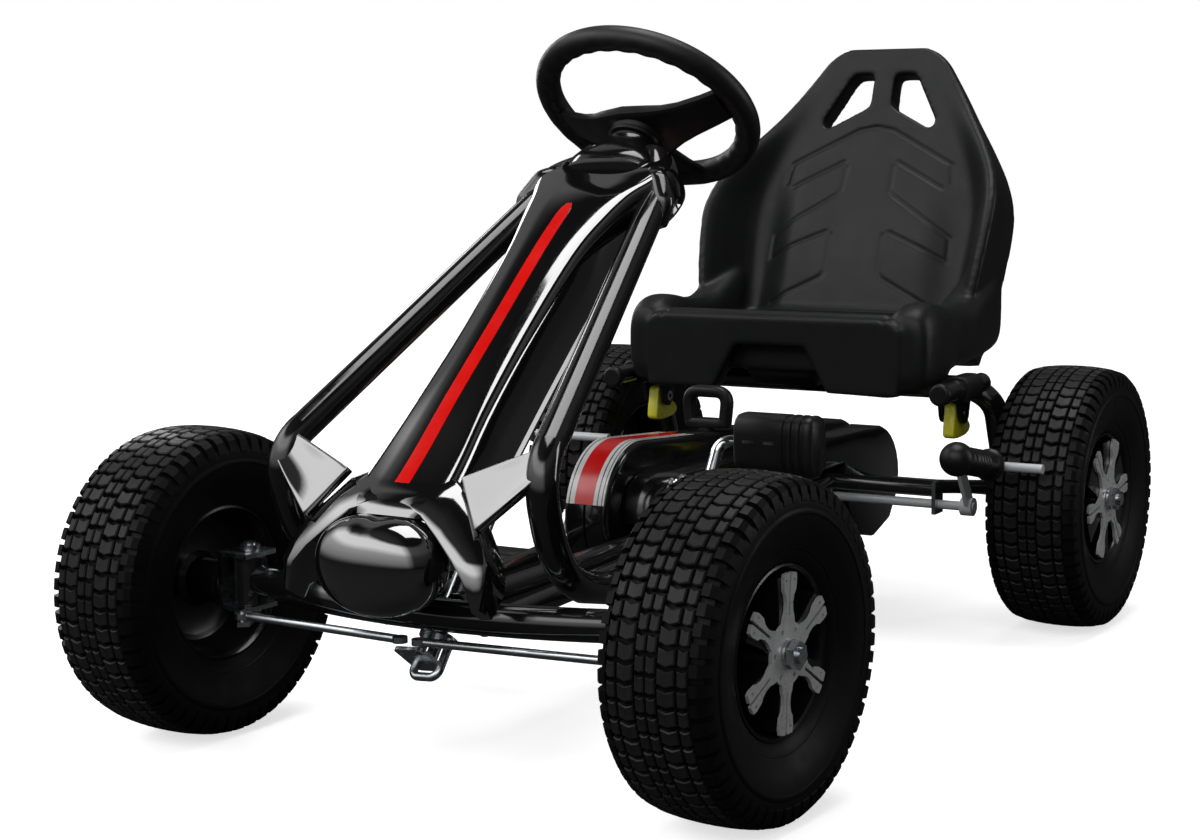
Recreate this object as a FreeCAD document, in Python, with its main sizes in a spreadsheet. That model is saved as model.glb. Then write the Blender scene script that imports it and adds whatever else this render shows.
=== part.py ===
import FreeCAD, Part
import math
import os
import Sketcher

# Pedal go kart.  +X is the driver's left, -Y the front, +Z up, millimetres.
# The origin lies on the ground under the middle of the kart.

DIMENSIONS = {
    # wheels
    "wheel_radius": 130, "tyre_width": 94, "tread_width": 68, "bead_radius": 66,
    "track_half": 260, "front_axle_y": -380, "rear_axle_y": 340,
    "rim_width": 62, "hub_radius": 17, "hub_inner_end": 39, "hub_outer_end": 36,
    "axle_radius": 6, "running_gap": 0.05, "spider_radius": 57, "spider_thick": 3,
    "nut_flats": 19, "nut_height": 7, "washer_radius": 11,
    # steering
    "rest_steer": 4.5, "column_tilt": 40, "column_turn": 8.2,
    "steer_centre_y": -53.5, "steer_centre_z": 520,
    "rim_ring_radius": 93, "grip_radius": 11.5, "column_radius": 8, "column_length": 520,
    "hub_drop": 26, "crank_drop": 560, "crank_reach": 24, "loop_half": 13, "loop_rod": 3.5,
    "kingpin_x": 200, "bush_radius": 14, "bush_height": 40, "kingpin_radius": 5,
    "arm_forward": 40, "arm_inward": 28, "tie_rod_radius": 3.5, "tie_rod_z": 116,
    "bracket_plate": 4, "bracket_depth": 36,
    # frame
    "beam_radius": 13, "beam_z": 136, "beam_bow": 39, "tube_wall": 2,
    "frame_radius": 12.5, "main_x": 22, "main_radius": 11, "main_z": 139,
    "side_x": 46, "side_radius": 9, "cross_y": 230, "cross_z": 146, "cross_radius": 8,
    "cross_half": 160, "arch_radius": 12, "arch_x": 192, "arch_y": 300, "arch_z": 238,
    "bearing_radius": 16, "bearing_width": 20, "rail_x": 180, "rail_z": 244, "rail_radius": 10,
    "rail_front_y": 195, "head_z": 491,
    # drive
    "pedal_axis_y": -86, "pedal_axis_z": 162, "crank_radius": 75, "crank_rod": 5.5,
    "crank_arm_x": 66, "pedal_length": 77, "pedal_centre_x": 125, "pedal_height": 54,
    "pedal_depth": 36, "crank_angle": 57, "chain_x": -26, "chain_thick": 6, "chain_width": 6,
    "chainring_radius": 48, "sprocket_radius": 31, "case_right_x": -36, "case_left_x": 8,
    "case_nose": 64, "case_tail": 62, "case_wall": 2.5, "cover_x": 50,
    # brake
    "brake_y": 230, "brake_z": 131, "brake_rod": 4.5, "brake_arm_x": 197, "brake_bar_y": 200,
    "brake_bar_z": 178, "brake_bar_x": 280, "brake_lever_x": 230, "grip_length": 82,
    # seat
    "seat_front_y": 184, "seat_base_half": 139, "seat_bottom_z": 237, "seat_lip_z": 319,
    "seat_pan_z": 285, "seat_back_tilt": 19.5, "seat_back_thick": 28,
    "seat_back_foot_y": 381, "seat_back_foot_z": 292, "seat_back_height": 309,
    "slider_y": 232, "slider_length": 40, "lever_pivot_y": 262, "lever_pivot_z": 218,
}


class Dim:
    """A length that carries its number and the spreadsheet expression it comes from."""

    def __init__(self, number, text):
        self.number = number
        self.text = text

    def _join(self, sign, other, number):
        return Dim(number, "(%s %s %s)" % (self.text, sign, text_of(other)))

    def __add__(self, other):
        return self._join("+", other, self.number + number_of(other))

    def __sub__(self, other):
        return self._join("-", other, self.number - number_of(other))

    def __mul__(self, other):
        return self._join("*", other, self.number * number_of(other))

    def __truediv__(self, other):
        return self._join("/", other, self.number / number_of(other))

    def __neg__(self):
        return Dim(-self.number, "(-1 * %s)" % self.text)

    def __float__(self):
        return float(self.number)


def number_of(value):
    return value.number if isinstance(value, Dim) else float(value)


def text_of(value):
    return value.text if isinstance(value, Dim) else repr(float(value))


class Sizes:
    """Every spreadsheet cell as an attribute."""


doc = FreeCAD.newDocument("pedal_go_kart")
sheet = doc.addObject("Spreadsheet::Sheet", "Sheet")
size = Sizes()
for row, (alias, number) in enumerate(DIMENSIONS.items(), start=1):
    sheet.set("A%d" % row, alias.replace("_", " "))
    sheet.set("B%d" % row, str(number))
    sheet.setAlias("B%d" % row, alias)
doc.recompute()
for alias in DIMENSIONS:
    setattr(size, alias, Dim(float(sheet.get(alias)), "Sheet." + alias))

V = FreeCAD.Vector
SIDES = {"left": 1, "right": -1}
NODES = []


def bind(thing, prop, value):
    """Set a property from the sheet, or to a plain number."""
    if isinstance(value, Dim):
        thing.setExpression(prop, value.text)
    else:
        setattr(thing, prop, value)


def place(thing, x=0, y=0, z=0, axis=(0, 0, 1), angle=0):
    """Give an object its placement, each coordinate bound to the sheet where it comes from it."""
    base = V(number_of(x), number_of(y), number_of(z))
    thing.Placement = FreeCAD.Placement(base, FreeCAD.Rotation(V(*axis), number_of(angle)))
    for name, value in (("x", x), ("y", y), ("z", z)):
        if isinstance(value, Dim):
            thing.setExpression("Placement.Base." + name, value.text)
    if isinstance(angle, Dim):
        thing.setExpression("Placement.Rotation.Angle", angle.text)


def node(thing, label):
    """Register an object as a sub-part of the kart."""
    thing.Label = label
    NODES.append(thing)
    return thing


# ---------------------------------------------------------------- sketches and features

def new_body(label):
    return node(doc.addObject("PartDesign::Body", label + "_body"), label)


def new_sketch(body, role, offset=0):
    sketch = body.newObject("Sketcher::SketchObject", body.Label + "_sketch")
    plane = next(f for f in body.Origin.OriginFeatures if f.Role == role)
    sketch.AttachmentSupport = [(plane, "")]
    sketch.MapMode = "FlatFace"
    if isinstance(offset, Dim):
        sketch.setExpression("AttachmentOffset.Base.z", offset.text)
    else:
        sketch.AttachmentOffset = FreeCAD.Placement(V(0, 0, offset), FreeCAD.Rotation())
    return sketch


def outline(sketch, points):
    """Closed polygon whose corners are pinned to sheet values."""
    first = sketch.GeometryCount
    count = len(points)
    corners = [V(number_of(x), number_of(y), 0) for x, y in points]
    for i in range(count):
        sketch.addGeometry(Part.LineSegment(corners[i], corners[(i + 1) % count]), False)
    for i in range(count):
        following = first + (i + 1) % count
        sketch.addConstraint(Sketcher.Constraint("Coincident", first + i, 2, following, 1))
    for i, (x, y) in enumerate(points):
        for kind, value in (("DistanceX", x), ("DistanceY", y)):
            fixed = Sketcher.Constraint(kind, -1, 1, first + i, 1, number_of(value))
            index = sketch.addConstraint(fixed)
            if isinstance(value, Dim):
                sketch.setExpression("Constraints[%d]" % index, value.text)


def circle(sketch, x, y, radius):
    centre = V(number_of(x), number_of(y), 0)
    index = sketch.addGeometry(Part.Circle(centre, V(0, 0, 1), number_of(radius)), False)
    for kind, value in (("DistanceX", x), ("DistanceY", y)):
        fixed = Sketcher.Constraint(kind, -1, 1, index, 3, number_of(value))
        row = sketch.addConstraint(fixed)
        if isinstance(value, Dim):
            sketch.setExpression("Constraints[%d]" % row, value.text)
    row = sketch.addConstraint(Sketcher.Constraint("Radius", index, number_of(radius)))
    if isinstance(radius, Dim):
        sketch.setExpression("Constraints[%d]" % row, radius.text)


def pad(body, sketch, length, midplane=False, backwards=False):
    feature = body.newObject("PartDesign::Pad", body.Label + "_pad")
    feature.Profile = sketch
    bind(feature, "Length", length)
    feature.Midplane = midplane
    feature.Reversed = backwards
    sketch.Visibility = False
    return feature


def pocket(body, sketch, length, midplane=False, backwards=False):
    feature = body.newObject("PartDesign::Pocket", body.Label + "_pocket")
    feature.Profile = sketch
    bind(feature, "Length", length)
    feature.Midplane = midplane
    feature.Reversed = backwards
    return feature


def revolve(body, sketch, axis="H_Axis"):
    feature = body.newObject("PartDesign::Revolution", body.Label + "_turn")
    feature.Profile = sketch
    feature.ReferenceAxis = (sketch, [axis])
    feature.Angle = 360
    return feature


def round_edges(body, feature, radius, keep):
    """Fillet the edges for which keep(edge) is true."""
    doc.recompute()
    names = ["Edge%d" % (i + 1) for i, e in enumerate(feature.Shape.Edges) if keep(e)]
    fillet = body.newObject("PartDesign::Fillet", body.Label + "_fillet")
    fillet.Base = (feature, names)
    bind(fillet, "Radius", radius)
    return fillet


def turned(label, points):
    """Solid of revolution about the X axis from (axial, radius) points."""
    body = new_body(label)
    sketch = new_sketch(body, "XZ_Plane")
    outline(sketch, points)
    return body, revolve(body, sketch)


# ---------------------------------------------------------------- shapes made in code

def rounded_wire(points, bends):
    """Straight runs joined by tangent arcs, with one bend radius or one for each corner."""
    corners = [V(*[number_of(c) for c in p]) for p in points]
    if not isinstance(bends, tuple):
        bends = (bends,) * (len(corners) - 2)
    edges = []
    start = corners[0]
    for before, corner, after, radius in zip(corners, corners[1:], corners[2:], bends):
        toward = (before - corner).normalize()
        away = (after - corner).normalize()
        turn = math.pi - toward.getAngle(away)
        reach = radius * math.tan(turn / 2)
        first = corner + toward * reach
        last = corner + away * reach
        middle_way = (toward + away).normalize()
        middle = corner + middle_way * (radius / math.cos(turn / 2) - radius)
        edges.append(Part.LineSegment(start, first).toShape())
        edges.append(Part.Arc(first, middle, last).toShape())
        start = last
    edges.append(Part.LineSegment(start, corners[-1]).toShape())
    return Part.Wire(edges)


def rod_shape(points, rod_radius, bend):
    """Round bar along a bent path."""
    path = rounded_wire(points, bend)
    heading = path.Edges[0].tangentAt(path.Edges[0].FirstParameter)
    ring = Part.Circle(path.Edges[0].Vertexes[0].Point, heading, number_of(rod_radius))
    profile = Part.Wire([ring.toShape()])
    return path.makePipeShell([profile], True, False)


def tube_shape(points, tube_radius, bend):
    """Bent tube with the common wall thickness."""
    outer = rod_shape(points, tube_radius, bend)
    inner = rod_shape(points, tube_radius - size.tube_wall, bend)
    return outer.cut(inner)


def straight_rod(start, end, rod_radius):
    start = V(*[number_of(c) for c in start])
    end = V(*[number_of(c) for c in end])
    return Part.makeCylinder(number_of(rod_radius), (end - start).Length, start, end - start)


def feature(label, shape, **where):
    thing = doc.addObject("Part::Feature", label + "_shape")
    thing.Shape = shape.removeSplitter()
    place(thing, **where)
    return node(thing, label)


def along_x(radius, x_from, x_to, y=0, z=0):
    start, end = sorted((number_of(x_from), number_of(x_to)))
    return Part.makeCylinder(number_of(radius), end - start,
                             V(start, number_of(y), number_of(z)), V(1, 0, 0))


def block(x, y, z):
    """Box between pairs of coordinates."""
    low = [min(number_of(a), number_of(b)) for a, b in (x, y, z)]
    high = [max(number_of(a), number_of(b)) for a, b in (x, y, z)]
    return Part.makeBox(high[0] - low[0], high[1] - low[1], high[2] - low[2], V(*low))


def softened(shape, radius, keep=lambda edge: True):
    return shape.makeFillet(radius, [e for e in shape.Edges if keep(e)])


# ---------------------------------------------------------------- wheels

def tyre(label, **where):
    """Hollow carcass, open towards the rim between its beads."""
    half = size.tyre_width / 2
    tread = size.tread_width / 2
    top = size.wheel_radius
    bead = size.bead_radius
    seat = size.rim_width / 2 - 1
    outside = [(seat, bead), (seat + 7, bead + 5), (half, bead + 26), (half - 1, top - 20),
               (tread + 5, top - 4), (tread, top)]
    inside = [(tread - 3, top - 10), (half - 8, top - 24), (half - 7, bead + 28),
              (seat, bead + 9), (seat - 6, bead)]
    points = outside + [(-x, y) for x, y in reversed(outside)]
    points += [(-x, y) for x, y in reversed(inside)] + inside
    body, _ = turned(label, points)
    place(body, **where)


def rim(label, side, **where):
    """Deep dished plastic rim: barrel with lips, a web and the hub.  side is +1 for left."""
    bore = size.axle_radius + size.running_gap
    barrel = size.bead_radius
    half = size.rim_width / 2
    web = 8
    points = [(-size.hub_inner_end, bore), (-size.hub_inner_end, size.hub_radius),
              (web, size.hub_radius), (web, barrel - 8), (-half + 2, barrel - 6),
              (-half, barrel - 2), (-half, barrel), (half, barrel), (half, barrel - 2),
              (half - 2, barrel - 5), (web + 5, barrel - 9), (web + 5, size.hub_radius + 2),
              (size.hub_outer_end - 4, size.hub_radius - 1), (size.hub_outer_end, 13),
              (size.hub_outer_end, bore)]
    if side < 0:
        points = [(x * -1, y) for x, y in points]
    body, _ = turned(label, points)
    place(body, **where)


def spider(label, side, phase, **where):
    """Silver six-armed trim: each arm is two thin fingers joined at the root."""
    thick = float(size.spider_thick)
    reach = float(size.spider_radius)
    start = float(size.hub_outer_end) * side
    heading = V(side, 0, 0)
    shape = Part.makeCylinder(15.5, thick, V(start, 0, 0), heading)
    for arm in range(6):
        for spread in (-1, 1):
            corners = [(2 * spread, 10), (8 * spread, 12), (5 * spread, 28), (9 * spread, reach),
                       (5 * spread, reach), (1.5 * spread, 30)]
            if spread < 0:
                corners.reverse()
            wire = Part.makePolygon([V(start, a, r) for a, r in corners + corners[:1]])
            finger = Part.Face(wire).extrude(heading * thick)
            finger.rotate(V(0, 0, 0), V(1, 0, 0), phase + 60 * arm)
            shape = shape.fuse(finger)
    shape = shape.cut(along_x(size.axle_radius + 3, -60, 60))
    feature(label, shape, **where)


def nut_shape(side, at):
    """Washer and hexagon nut on an axle end, opening outward."""
    washer = float(size.washer_radius)
    bore = along_x(size.axle_radius, -400, 400)
    disc = Part.makeCylinder(washer, 2, V(at * side, 0, 0), V(side, 0, 0))
    across = float(size.nut_flats) / math.sqrt(3)
    corners = [V((at + 2) * side, across * math.sin(math.radians(60 * k)),
                 across * math.cos(math.radians(60 * k))) for k in range(7)]
    hexagon = Part.Face(Part.makePolygon(corners)).extrude(V(side * size.nut_height.number, 0, 0))
    return disc.fuse(hexagon).cut(bore)


def steered(side):
    """Placement of everything that turns with one front knuckle."""
    return dict(x=size.kingpin_x * side, y=size.front_axle_y, z=0, angle=-size.rest_steer)


def wheel_in_knuckle(side):
    """Front wheel parts are modelled about the hub, then carried out to the stub axle."""
    angle = math.radians(-float(size.rest_steer))
    arm = (size.track_half - size.kingpin_x) * side
    return dict(x=size.kingpin_x * side + arm * math.cos(angle),
                y=size.front_axle_y + arm * math.sin(angle),
                z=size.wheel_radius, angle=-size.rest_steer)


def rear_wheel(side):
    return dict(x=size.track_half * side, y=size.rear_axle_y, z=size.wheel_radius)


NUT_GAP = 0.4
for name, side in SIDES.items():
    for position, where in (("front", wheel_in_knuckle(side)), ("rear", rear_wheel(side))):
        wheel = "%s_%s" % (position, name)
        tyre("tyre_" + wheel, **where)
        rim("rim_" + wheel, side, **where)
        spider("spider_" + wheel, side, -3.4 if position == "front" else 38, **where)
    nut_start = float(size.hub_outer_end) + float(size.spider_thick) + NUT_GAP
    feature("hub_nut_" + name, nut_shape(side, nut_start), **wheel_in_knuckle(side))

# ---------------------------------------------------------------- steering: knuckles, tie rods

KINGPIN_Z = float(size.beam_z)
STUB_END = float(size.track_half - size.kingpin_x) + float(size.hub_outer_end) + 15
BUSH_TOP = KINGPIN_Z + float(size.bush_height) / 2
BUSH_LOW = KINGPIN_Z - float(size.bush_height) / 2


def knuckle(name, side):
    """Pressed C bracket round the beam-end bush, stub axle outboard, steering arm forward."""
    plate = float(size.bracket_plate)
    half = float(size.bracket_depth) / 2
    wall = float(size.bush_radius) + 2
    gap = 0.5
    upper = block((-12 * side, (wall + plate) * side), (-half, half),
                  (BUSH_TOP + gap, BUSH_TOP + gap + plate))
    lower = block((-12 * side, (wall + plate) * side), (-half, half),
                  (BUSH_LOW - gap - plate, BUSH_LOW - gap))
    back = block((wall * side, (wall + plate) * side), (-half, half),
                 (BUSH_LOW - gap - plate, BUSH_TOP + gap + plate))
    stub = along_x(size.axle_radius, wall * side, STUB_END * side, 0, size.wheel_radius)
    inward = -float(size.arm_inward) * side
    forward = -float(size.arm_forward)
    low = BUSH_LOW - gap - plate
    outline_points = [V(10 * side, 0, low), V(-10 * side, 0, low), V(inward - 7 * side, forward, low),
                      V(inward, forward - 7, low), V(inward + 7 * side, forward, low),
                      V(10 * side, 0, low)]
    arm = Part.Face(Part.makePolygon(outline_points)).extrude(V(0, 0, -plate))
    pin = straight_rod((inward, forward, low - plate), (inward, forward, low + 9), 3)
    shape = upper.fuse([lower, back, stub, arm, pin])
    pin_hole = straight_rod((0, 0, 60), (0, 0, 200), size.kingpin_radius + size.running_gap)
    feature("knuckle_" + name, shape.cut(pin_hole), **steered(side))


def eye_point():
    """Where the tie rods meet the crank plate, with the column turned to the rest angle."""
    tilt = math.radians(float(size.column_tilt))
    turn = math.radians(-float(size.column_turn))
    drop = float(size.crank_drop)
    reach = float(size.crank_reach)
    foot_y = float(size.steer_centre_y) - drop * math.sin(tilt)
    return (math.sin(turn) * reach, foot_y - reach * math.cos(turn) * math.cos(tilt))


EYE_X, EYE_Y = eye_point()
EYE_HALF = 9


def tie_rod(name, side):
    """Straight rod with a flattened eye at each end."""
    angle = math.radians(-float(size.rest_steer))
    inward = -float(size.arm_inward) * side
    forward = -float(size.arm_forward)
    outer = V(float(size.kingpin_x) * side + inward * math.cos(angle) - forward * math.sin(angle),
              float(size.front_axle_y) + inward * math.sin(angle) + forward * math.cos(angle),
              float(size.tie_rod_z))
    inner = V(EYE_X + EYE_HALF * side, EYE_Y, float(size.tie_rod_z))
    along = (inner - outer).normalize()
    flat = float(size.tie_rod_radius) * 0.7
    bar = straight_rod(outer + along * 6, inner - along * 4, size.tie_rod_radius)
    pieces = []
    for end, radius in ((outer, 7), (inner, 6)):
        pieces.append(Part.makeCylinder(radius, 2 * flat, end - V(0, 0, flat)))
    shape = bar.fuse(pieces)
    hole = Part.makeCylinder(3.05, 40, outer - V(0, 0, 20))
    feature("tie_rod_" + name, shape.cut(hole))


for name, side in SIDES.items():
    knuckle(name, side)
    tie_rod(name, side)

pins = [straight_rod((size.kingpin_x * side, size.front_axle_y, BUSH_LOW - 14),
                     (size.kingpin_x * side, size.front_axle_y, BUSH_TOP + 12),
                     size.kingpin_radius).fuse(
        [Part.makeCylinder(8.5, 5, V(float(size.kingpin_x) * side, float(size.front_axle_y), z))
         for z in (BUSH_LOW - 14, BUSH_TOP + 5)]) for side in SIDES.values()]
feature("kingpins", Part.makeCompound(pins))

# ---------------------------------------------------------------- steering column and wheel


HEAD_TOP = -50
HEAD_PLATE = 4


def above_head_plate(clearance):
    """Block that trims whatever ends under the head plate."""
    room = block((-70, 70), (-60, 60), (HEAD_TOP - HEAD_PLATE - clearance, 60))
    room.rotate(V(0, 0, 0), V(1, 0, 0), -float(size.column_tilt))
    room.translate(V(0, float(size.steer_centre_y), float(size.steer_centre_z)))
    return room


def place_on_column(thing, turning=True):
    """Local frame: origin at the steering wheel's centre, +Z up along the column."""
    tilt = FreeCAD.Rotation(V(1, 0, 0), -float(size.column_tilt))
    turn = FreeCAD.Rotation(V(0, 0, 1), -float(size.column_turn) if turning else 0)
    base = V(0, float(size.steer_centre_y), float(size.steer_centre_z))
    thing.Placement = FreeCAD.Placement(base, tilt.multiply(turn))
    thing.setExpression("Placement.Base.y", size.steer_centre_y.text)
    thing.setExpression("Placement.Base.z", size.steer_centre_z.text)


def column_feature(label, shape, turning=True):
    thing = doc.addObject("Part::Feature", label + "_shape")
    thing.Shape = shape.removeSplitter()
    place_on_column(thing, turning)
    return node(thing, label)


def column_cylinder(radius, top, bottom):
    return Part.makeCylinder(number_of(radius), number_of(top) - number_of(bottom),
                             V(0, 0, number_of(bottom)))


def steering_column():
    """Tube to the lower bush, then a rod with the crank plate and the bent stirrup."""
    tube_end = -float(size.column_length)
    plate_z = -float(size.crank_drop)
    half = float(size.loop_half)
    loop_top = tube_end - 16
    loop_low = plate_z - 8
    shape = column_cylinder(size.column_radius, -12, tube_end)
    rod = column_cylinder(5, tube_end, plate_z)
    flange = column_cylinder(half + 3, loop_top + 3, loop_top)
    loop = rod_shape([(-half, 0, loop_top + 1), (-half, 0, loop_low), (half, 0, loop_low),
                      (half, 0, loop_top + 1)], size.loop_rod, 7)
    reach = float(size.crank_reach)
    plate = block((-EYE_HALF - 6, EYE_HALF + 6), (-reach - 5, 6), (plate_z, plate_z + 3))
    plate = softened(plate, 5, lambda e: abs(e.BoundBox.ZLength - 3) < 0.01)
    for side in SIDES.values():
        plate = plate.cut(Part.makeCylinder(3.5, 9, V(EYE_HALF * side, -reach, plate_z - 3)))
    column_feature("steering_column", shape.fuse([rod, flange, loop, plate]))


def steering_wheel():
    ring = node(doc.addObject("Part::Torus", "rim_ring"), "steering_rim")
    bind(ring, "Radius1", size.rim_ring_radius)
    bind(ring, "Radius2", size.grip_radius)
    place_on_column(ring)
    drop = float(size.hub_drop)
    hub = column_cylinder(31, -drop + 16, -drop)
    boot = HEAD_TOP + 6 + drop
    hub = hub.fuse(Part.makeCone(15, 24, -boot, V(0, 0, boot - drop)))
    reach = float(size.rim_ring_radius - size.grip_radius) + 1.5
    rise = math.degrees(math.atan2(drop - 10, reach))
    for angle, width in ((0, 34), (180, 34), (90, 26)):
        spoke = block((16, math.hypot(reach, drop - 10)), (-width / 2, width / 2), (-4.5, 4.5))
        spoke = softened(spoke, 3, lambda e: e.BoundBox.XLength > 20)
        spoke.rotate(V(0, 0, 0), V(0, 1, 0), -rise)
        spoke.translate(V(0, 0, -drop + 9))
        spoke.rotate(V(0, 0, 0), V(0, 0, 1), angle)
        hub = hub.fuse(spoke)
    ring_solid = Part.makeTorus(float(size.rim_ring_radius), float(size.grip_radius))
    bore = column_cylinder(size.column_radius, 0, -100)
    column_feature("steering_hub", hub.cut(ring_solid).cut(bore))


def column_bearings():
    """Top bush in its welded plate, and the pressed bracket behind the beam."""
    top = HEAD_TOP
    bore = column_cylinder(size.column_radius + size.running_gap, 0, -600)
    bush = column_cylinder(13, top + 5, top - 22).fuse(column_cylinder(17, top + 5, top))
    column_feature("head_bush", bush.cut(bore), turning=False)
    plate = block((-40, 40), (-20, 30), (top - HEAD_PLATE, top))
    plate = softened(plate, 10, lambda e: abs(e.BoundBox.ZLength - HEAD_PLATE) < 0.01)
    column_feature("head_plate", plate.cut(column_cylinder(13, 0, -100)), turning=False)
    low = -float(size.column_length) + 6
    bracket = block((-20, float(size.main_x - size.main_radius) - 0.2), (-26, 13), (low, low + 4))
    column_feature("column_bracket", bracket.cut(bore), turning=False)


steering_column()
steering_wheel()
column_bearings()

# ---------------------------------------------------------------- frame


def beam_arc():
    half = float(size.kingpin_x) - 13
    ends_y = float(size.front_axle_y)
    z = float(size.beam_z)
    middle = ends_y - float(size.beam_bow)
    return Part.Wire([Part.Arc(V(-half, ends_y, z), V(0, middle, z), V(half, ends_y, z)).toShape()])


def beam_solid(radius):
    path = beam_arc()
    heading = path.Edges[0].tangentAt(path.Edges[0].FirstParameter)
    ring = Part.Circle(path.Edges[0].Vertexes[0].Point, heading, number_of(radius))
    return path.makePipeShell([Part.Wire([ring.toShape()])], True, False)


def front_beam():
    """Bowed tube with a kingpin bush welded on each end."""
    tube = beam_solid(size.beam_radius)
    for side in SIDES.values():
        tube = tube.fuse(Part.makeCylinder(float(size.bush_radius), float(size.bush_height),
                                           V(float(size.kingpin_x) * side,
                                             float(size.front_axle_y), BUSH_LOW)))
    tube = tube.cut(beam_solid(size.beam_radius - size.tube_wall))
    for side in SIDES.values():
        bore = Part.makeCylinder(float(size.kingpin_radius), 200,
                                 V(float(size.kingpin_x) * side, float(size.front_axle_y), 0))
        core = Part.makeCylinder(float(size.bush_radius) - 0.01, float(size.bush_height),
                                 V(float(size.kingpin_x) * side, float(size.front_axle_y),
                                   BUSH_LOW))
        tube = tube.fuse(core).cut(bore)
    feature("front_beam", tube)


def main_tube():
    """Central backbone, from the beam to the rear cross tube."""
    body = new_body("main_tube")
    rear = size.cross_y - size.cross_radius
    sketch = new_sketch(body, "XZ_Plane", -rear)
    circle(sketch, size.main_x, size.main_z, size.main_radius)
    circle(sketch, size.main_x, size.main_z, size.main_radius - size.tube_wall)
    pad(body, sketch, rear - size.front_axle_y + size.beam_bow - size.beam_radius - 1.3)


def side_tube_ends(side):
    rear = (size.side_x * side, size.cross_y - size.cross_radius, size.cross_z - 3)
    front = (size.side_x * side, size.front_axle_y - 23, size.beam_z - 9)
    return front, rear


def side_tubes():
    tubes = []
    for side in SIDES.values():
        front, rear = side_tube_ends(side)
        outer = straight_rod(front, rear, size.side_radius)
        tubes.append(outer.cut(straight_rod(front, rear, size.side_radius - size.tube_wall)))
    feature("side_tubes", Part.makeCompound(tubes).cut(beam_solid(size.beam_radius)))


FRAME_BENDS = (30, 38, 90, 40)


def frame_path(side):
    """From under the head plate outward, down to the hoop, round it and back inboard."""
    head = (27 * side, -88, size.head_z - 9)
    neck = (57 * side, -142, 443)
    shoulder = (121 * side, -440, 256)
    heel = (119 * side, -412, 168)
    sill = (114 * side, -330, 149)
    foot = ((size.side_x + 4) * side, -262, size.beam_z - 6)
    return [head, neck, shoulder, heel, sill, foot]


def frame_solid(side, radius):
    return rod_shape(frame_path(side), radius, FRAME_BENDS)


def frame_tube(name, side):
    tube = frame_solid(side, size.frame_radius)
    tube = tube.cut(frame_solid(side, size.frame_radius - size.tube_wall))
    front, rear = side_tube_ends(side)
    tube = tube.cut(straight_rod(front, rear, size.side_radius))
    tube = tube.cut(beam_solid(size.beam_radius))
    feature("frame_tube_" + name, tube.cut(above_head_plate(0)))


def cross_tubes():
    y, z = float(size.cross_y), float(size.cross_z)
    inner = {"left": float(size.main_x - size.main_radius), "right": -float(size.side_x) + 9}
    tubes = []
    for name, side in SIDES.items():
        outer = along_x(size.cross_radius, inner[name], size.cross_half * side, y, z)
        tubes.append(outer.cut(along_x(size.cross_radius - size.tube_wall, -400, 400, y, z)))
    feature("cross_tubes", Part.makeCompound(tubes))


def arch_path():
    low = (size.rear_axle_y - 2, size.wheel_radius + size.bearing_radius - 3)
    high = (size.arch_y, size.arch_z)
    return [(-size.arch_x,) + low, (-size.arch_x,) + high, (size.arch_x,) + high,
            (size.arch_x,) + low]


def bearing_blocks(radius):
    width = float(size.bearing_width)
    middle = float(size.arch_x)
    return [along_x(radius, (middle - width / 2) * side, (middle + width / 2) * side,
                    size.rear_axle_y, size.wheel_radius) for side in SIDES.values()]


def rear_frame():
    """Arch over the axle, the bearing housings under it and the stays that brace them."""
    arch = tube_shape(arch_path(), size.arch_radius, 30)
    housings = bearing_blocks(size.bearing_radius)
    axle = along_x(size.axle_radius + size.running_gap, -400, 400,
                   size.rear_axle_y, size.wheel_radius)
    feature("rear_arch", arch.cut(housings))
    feature("axle_bearings", Part.makeCompound([h.cut(axle) for h in housings]))
    stays = []
    for side in SIDES.values():
        start = (142 * side, size.cross_y + size.cross_radius, size.cross_z)
        end = ((size.arch_x - 4) * side, size.rear_axle_y - 10, size.wheel_radius + 5)
        stays.append(straight_rod(start, end, 7))
    cutters = housings + [rod_shape(arch_path(), size.arch_radius, 30)]
    cutters.append(along_x(size.cross_radius, -400, 400, size.cross_y, size.cross_z))
    feature("rear_stays", Part.makeCompound(stays).cut(cutters))


def seat_rails():
    arch = rod_shape(arch_path(), size.arch_radius, 30)
    rails, caps = [], []
    for side in SIDES.values():
        start = (size.rail_x * side, size.rail_front_y, size.rail_z)
        end = (size.rail_x * side, size.arch_y, size.rail_z)
        hollow = straight_rod(start, end, size.rail_radius - size.tube_wall)
        rails.append(straight_rod(start, end, size.rail_radius).cut(hollow).cut(arch))
        centre = V(*[number_of(c) for c in start])
        cap = Part.makeCylinder(11, 8, centre, V(0, -1, 0))
        caps.append(softened(cap, 3.5, lambda e: e.BoundBox.YMax < centre.y - 7))
    feature("seat_rails", Part.makeCompound(rails))
    feature("rail_caps", Part.makeCompound(caps))


front_beam()
main_tube()
side_tubes()
for name, side in SIDES.items():
    frame_tube(name, side)
cross_tubes()
rear_frame()
seat_rails()

# ---------------------------------------------------------------- drive


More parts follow.
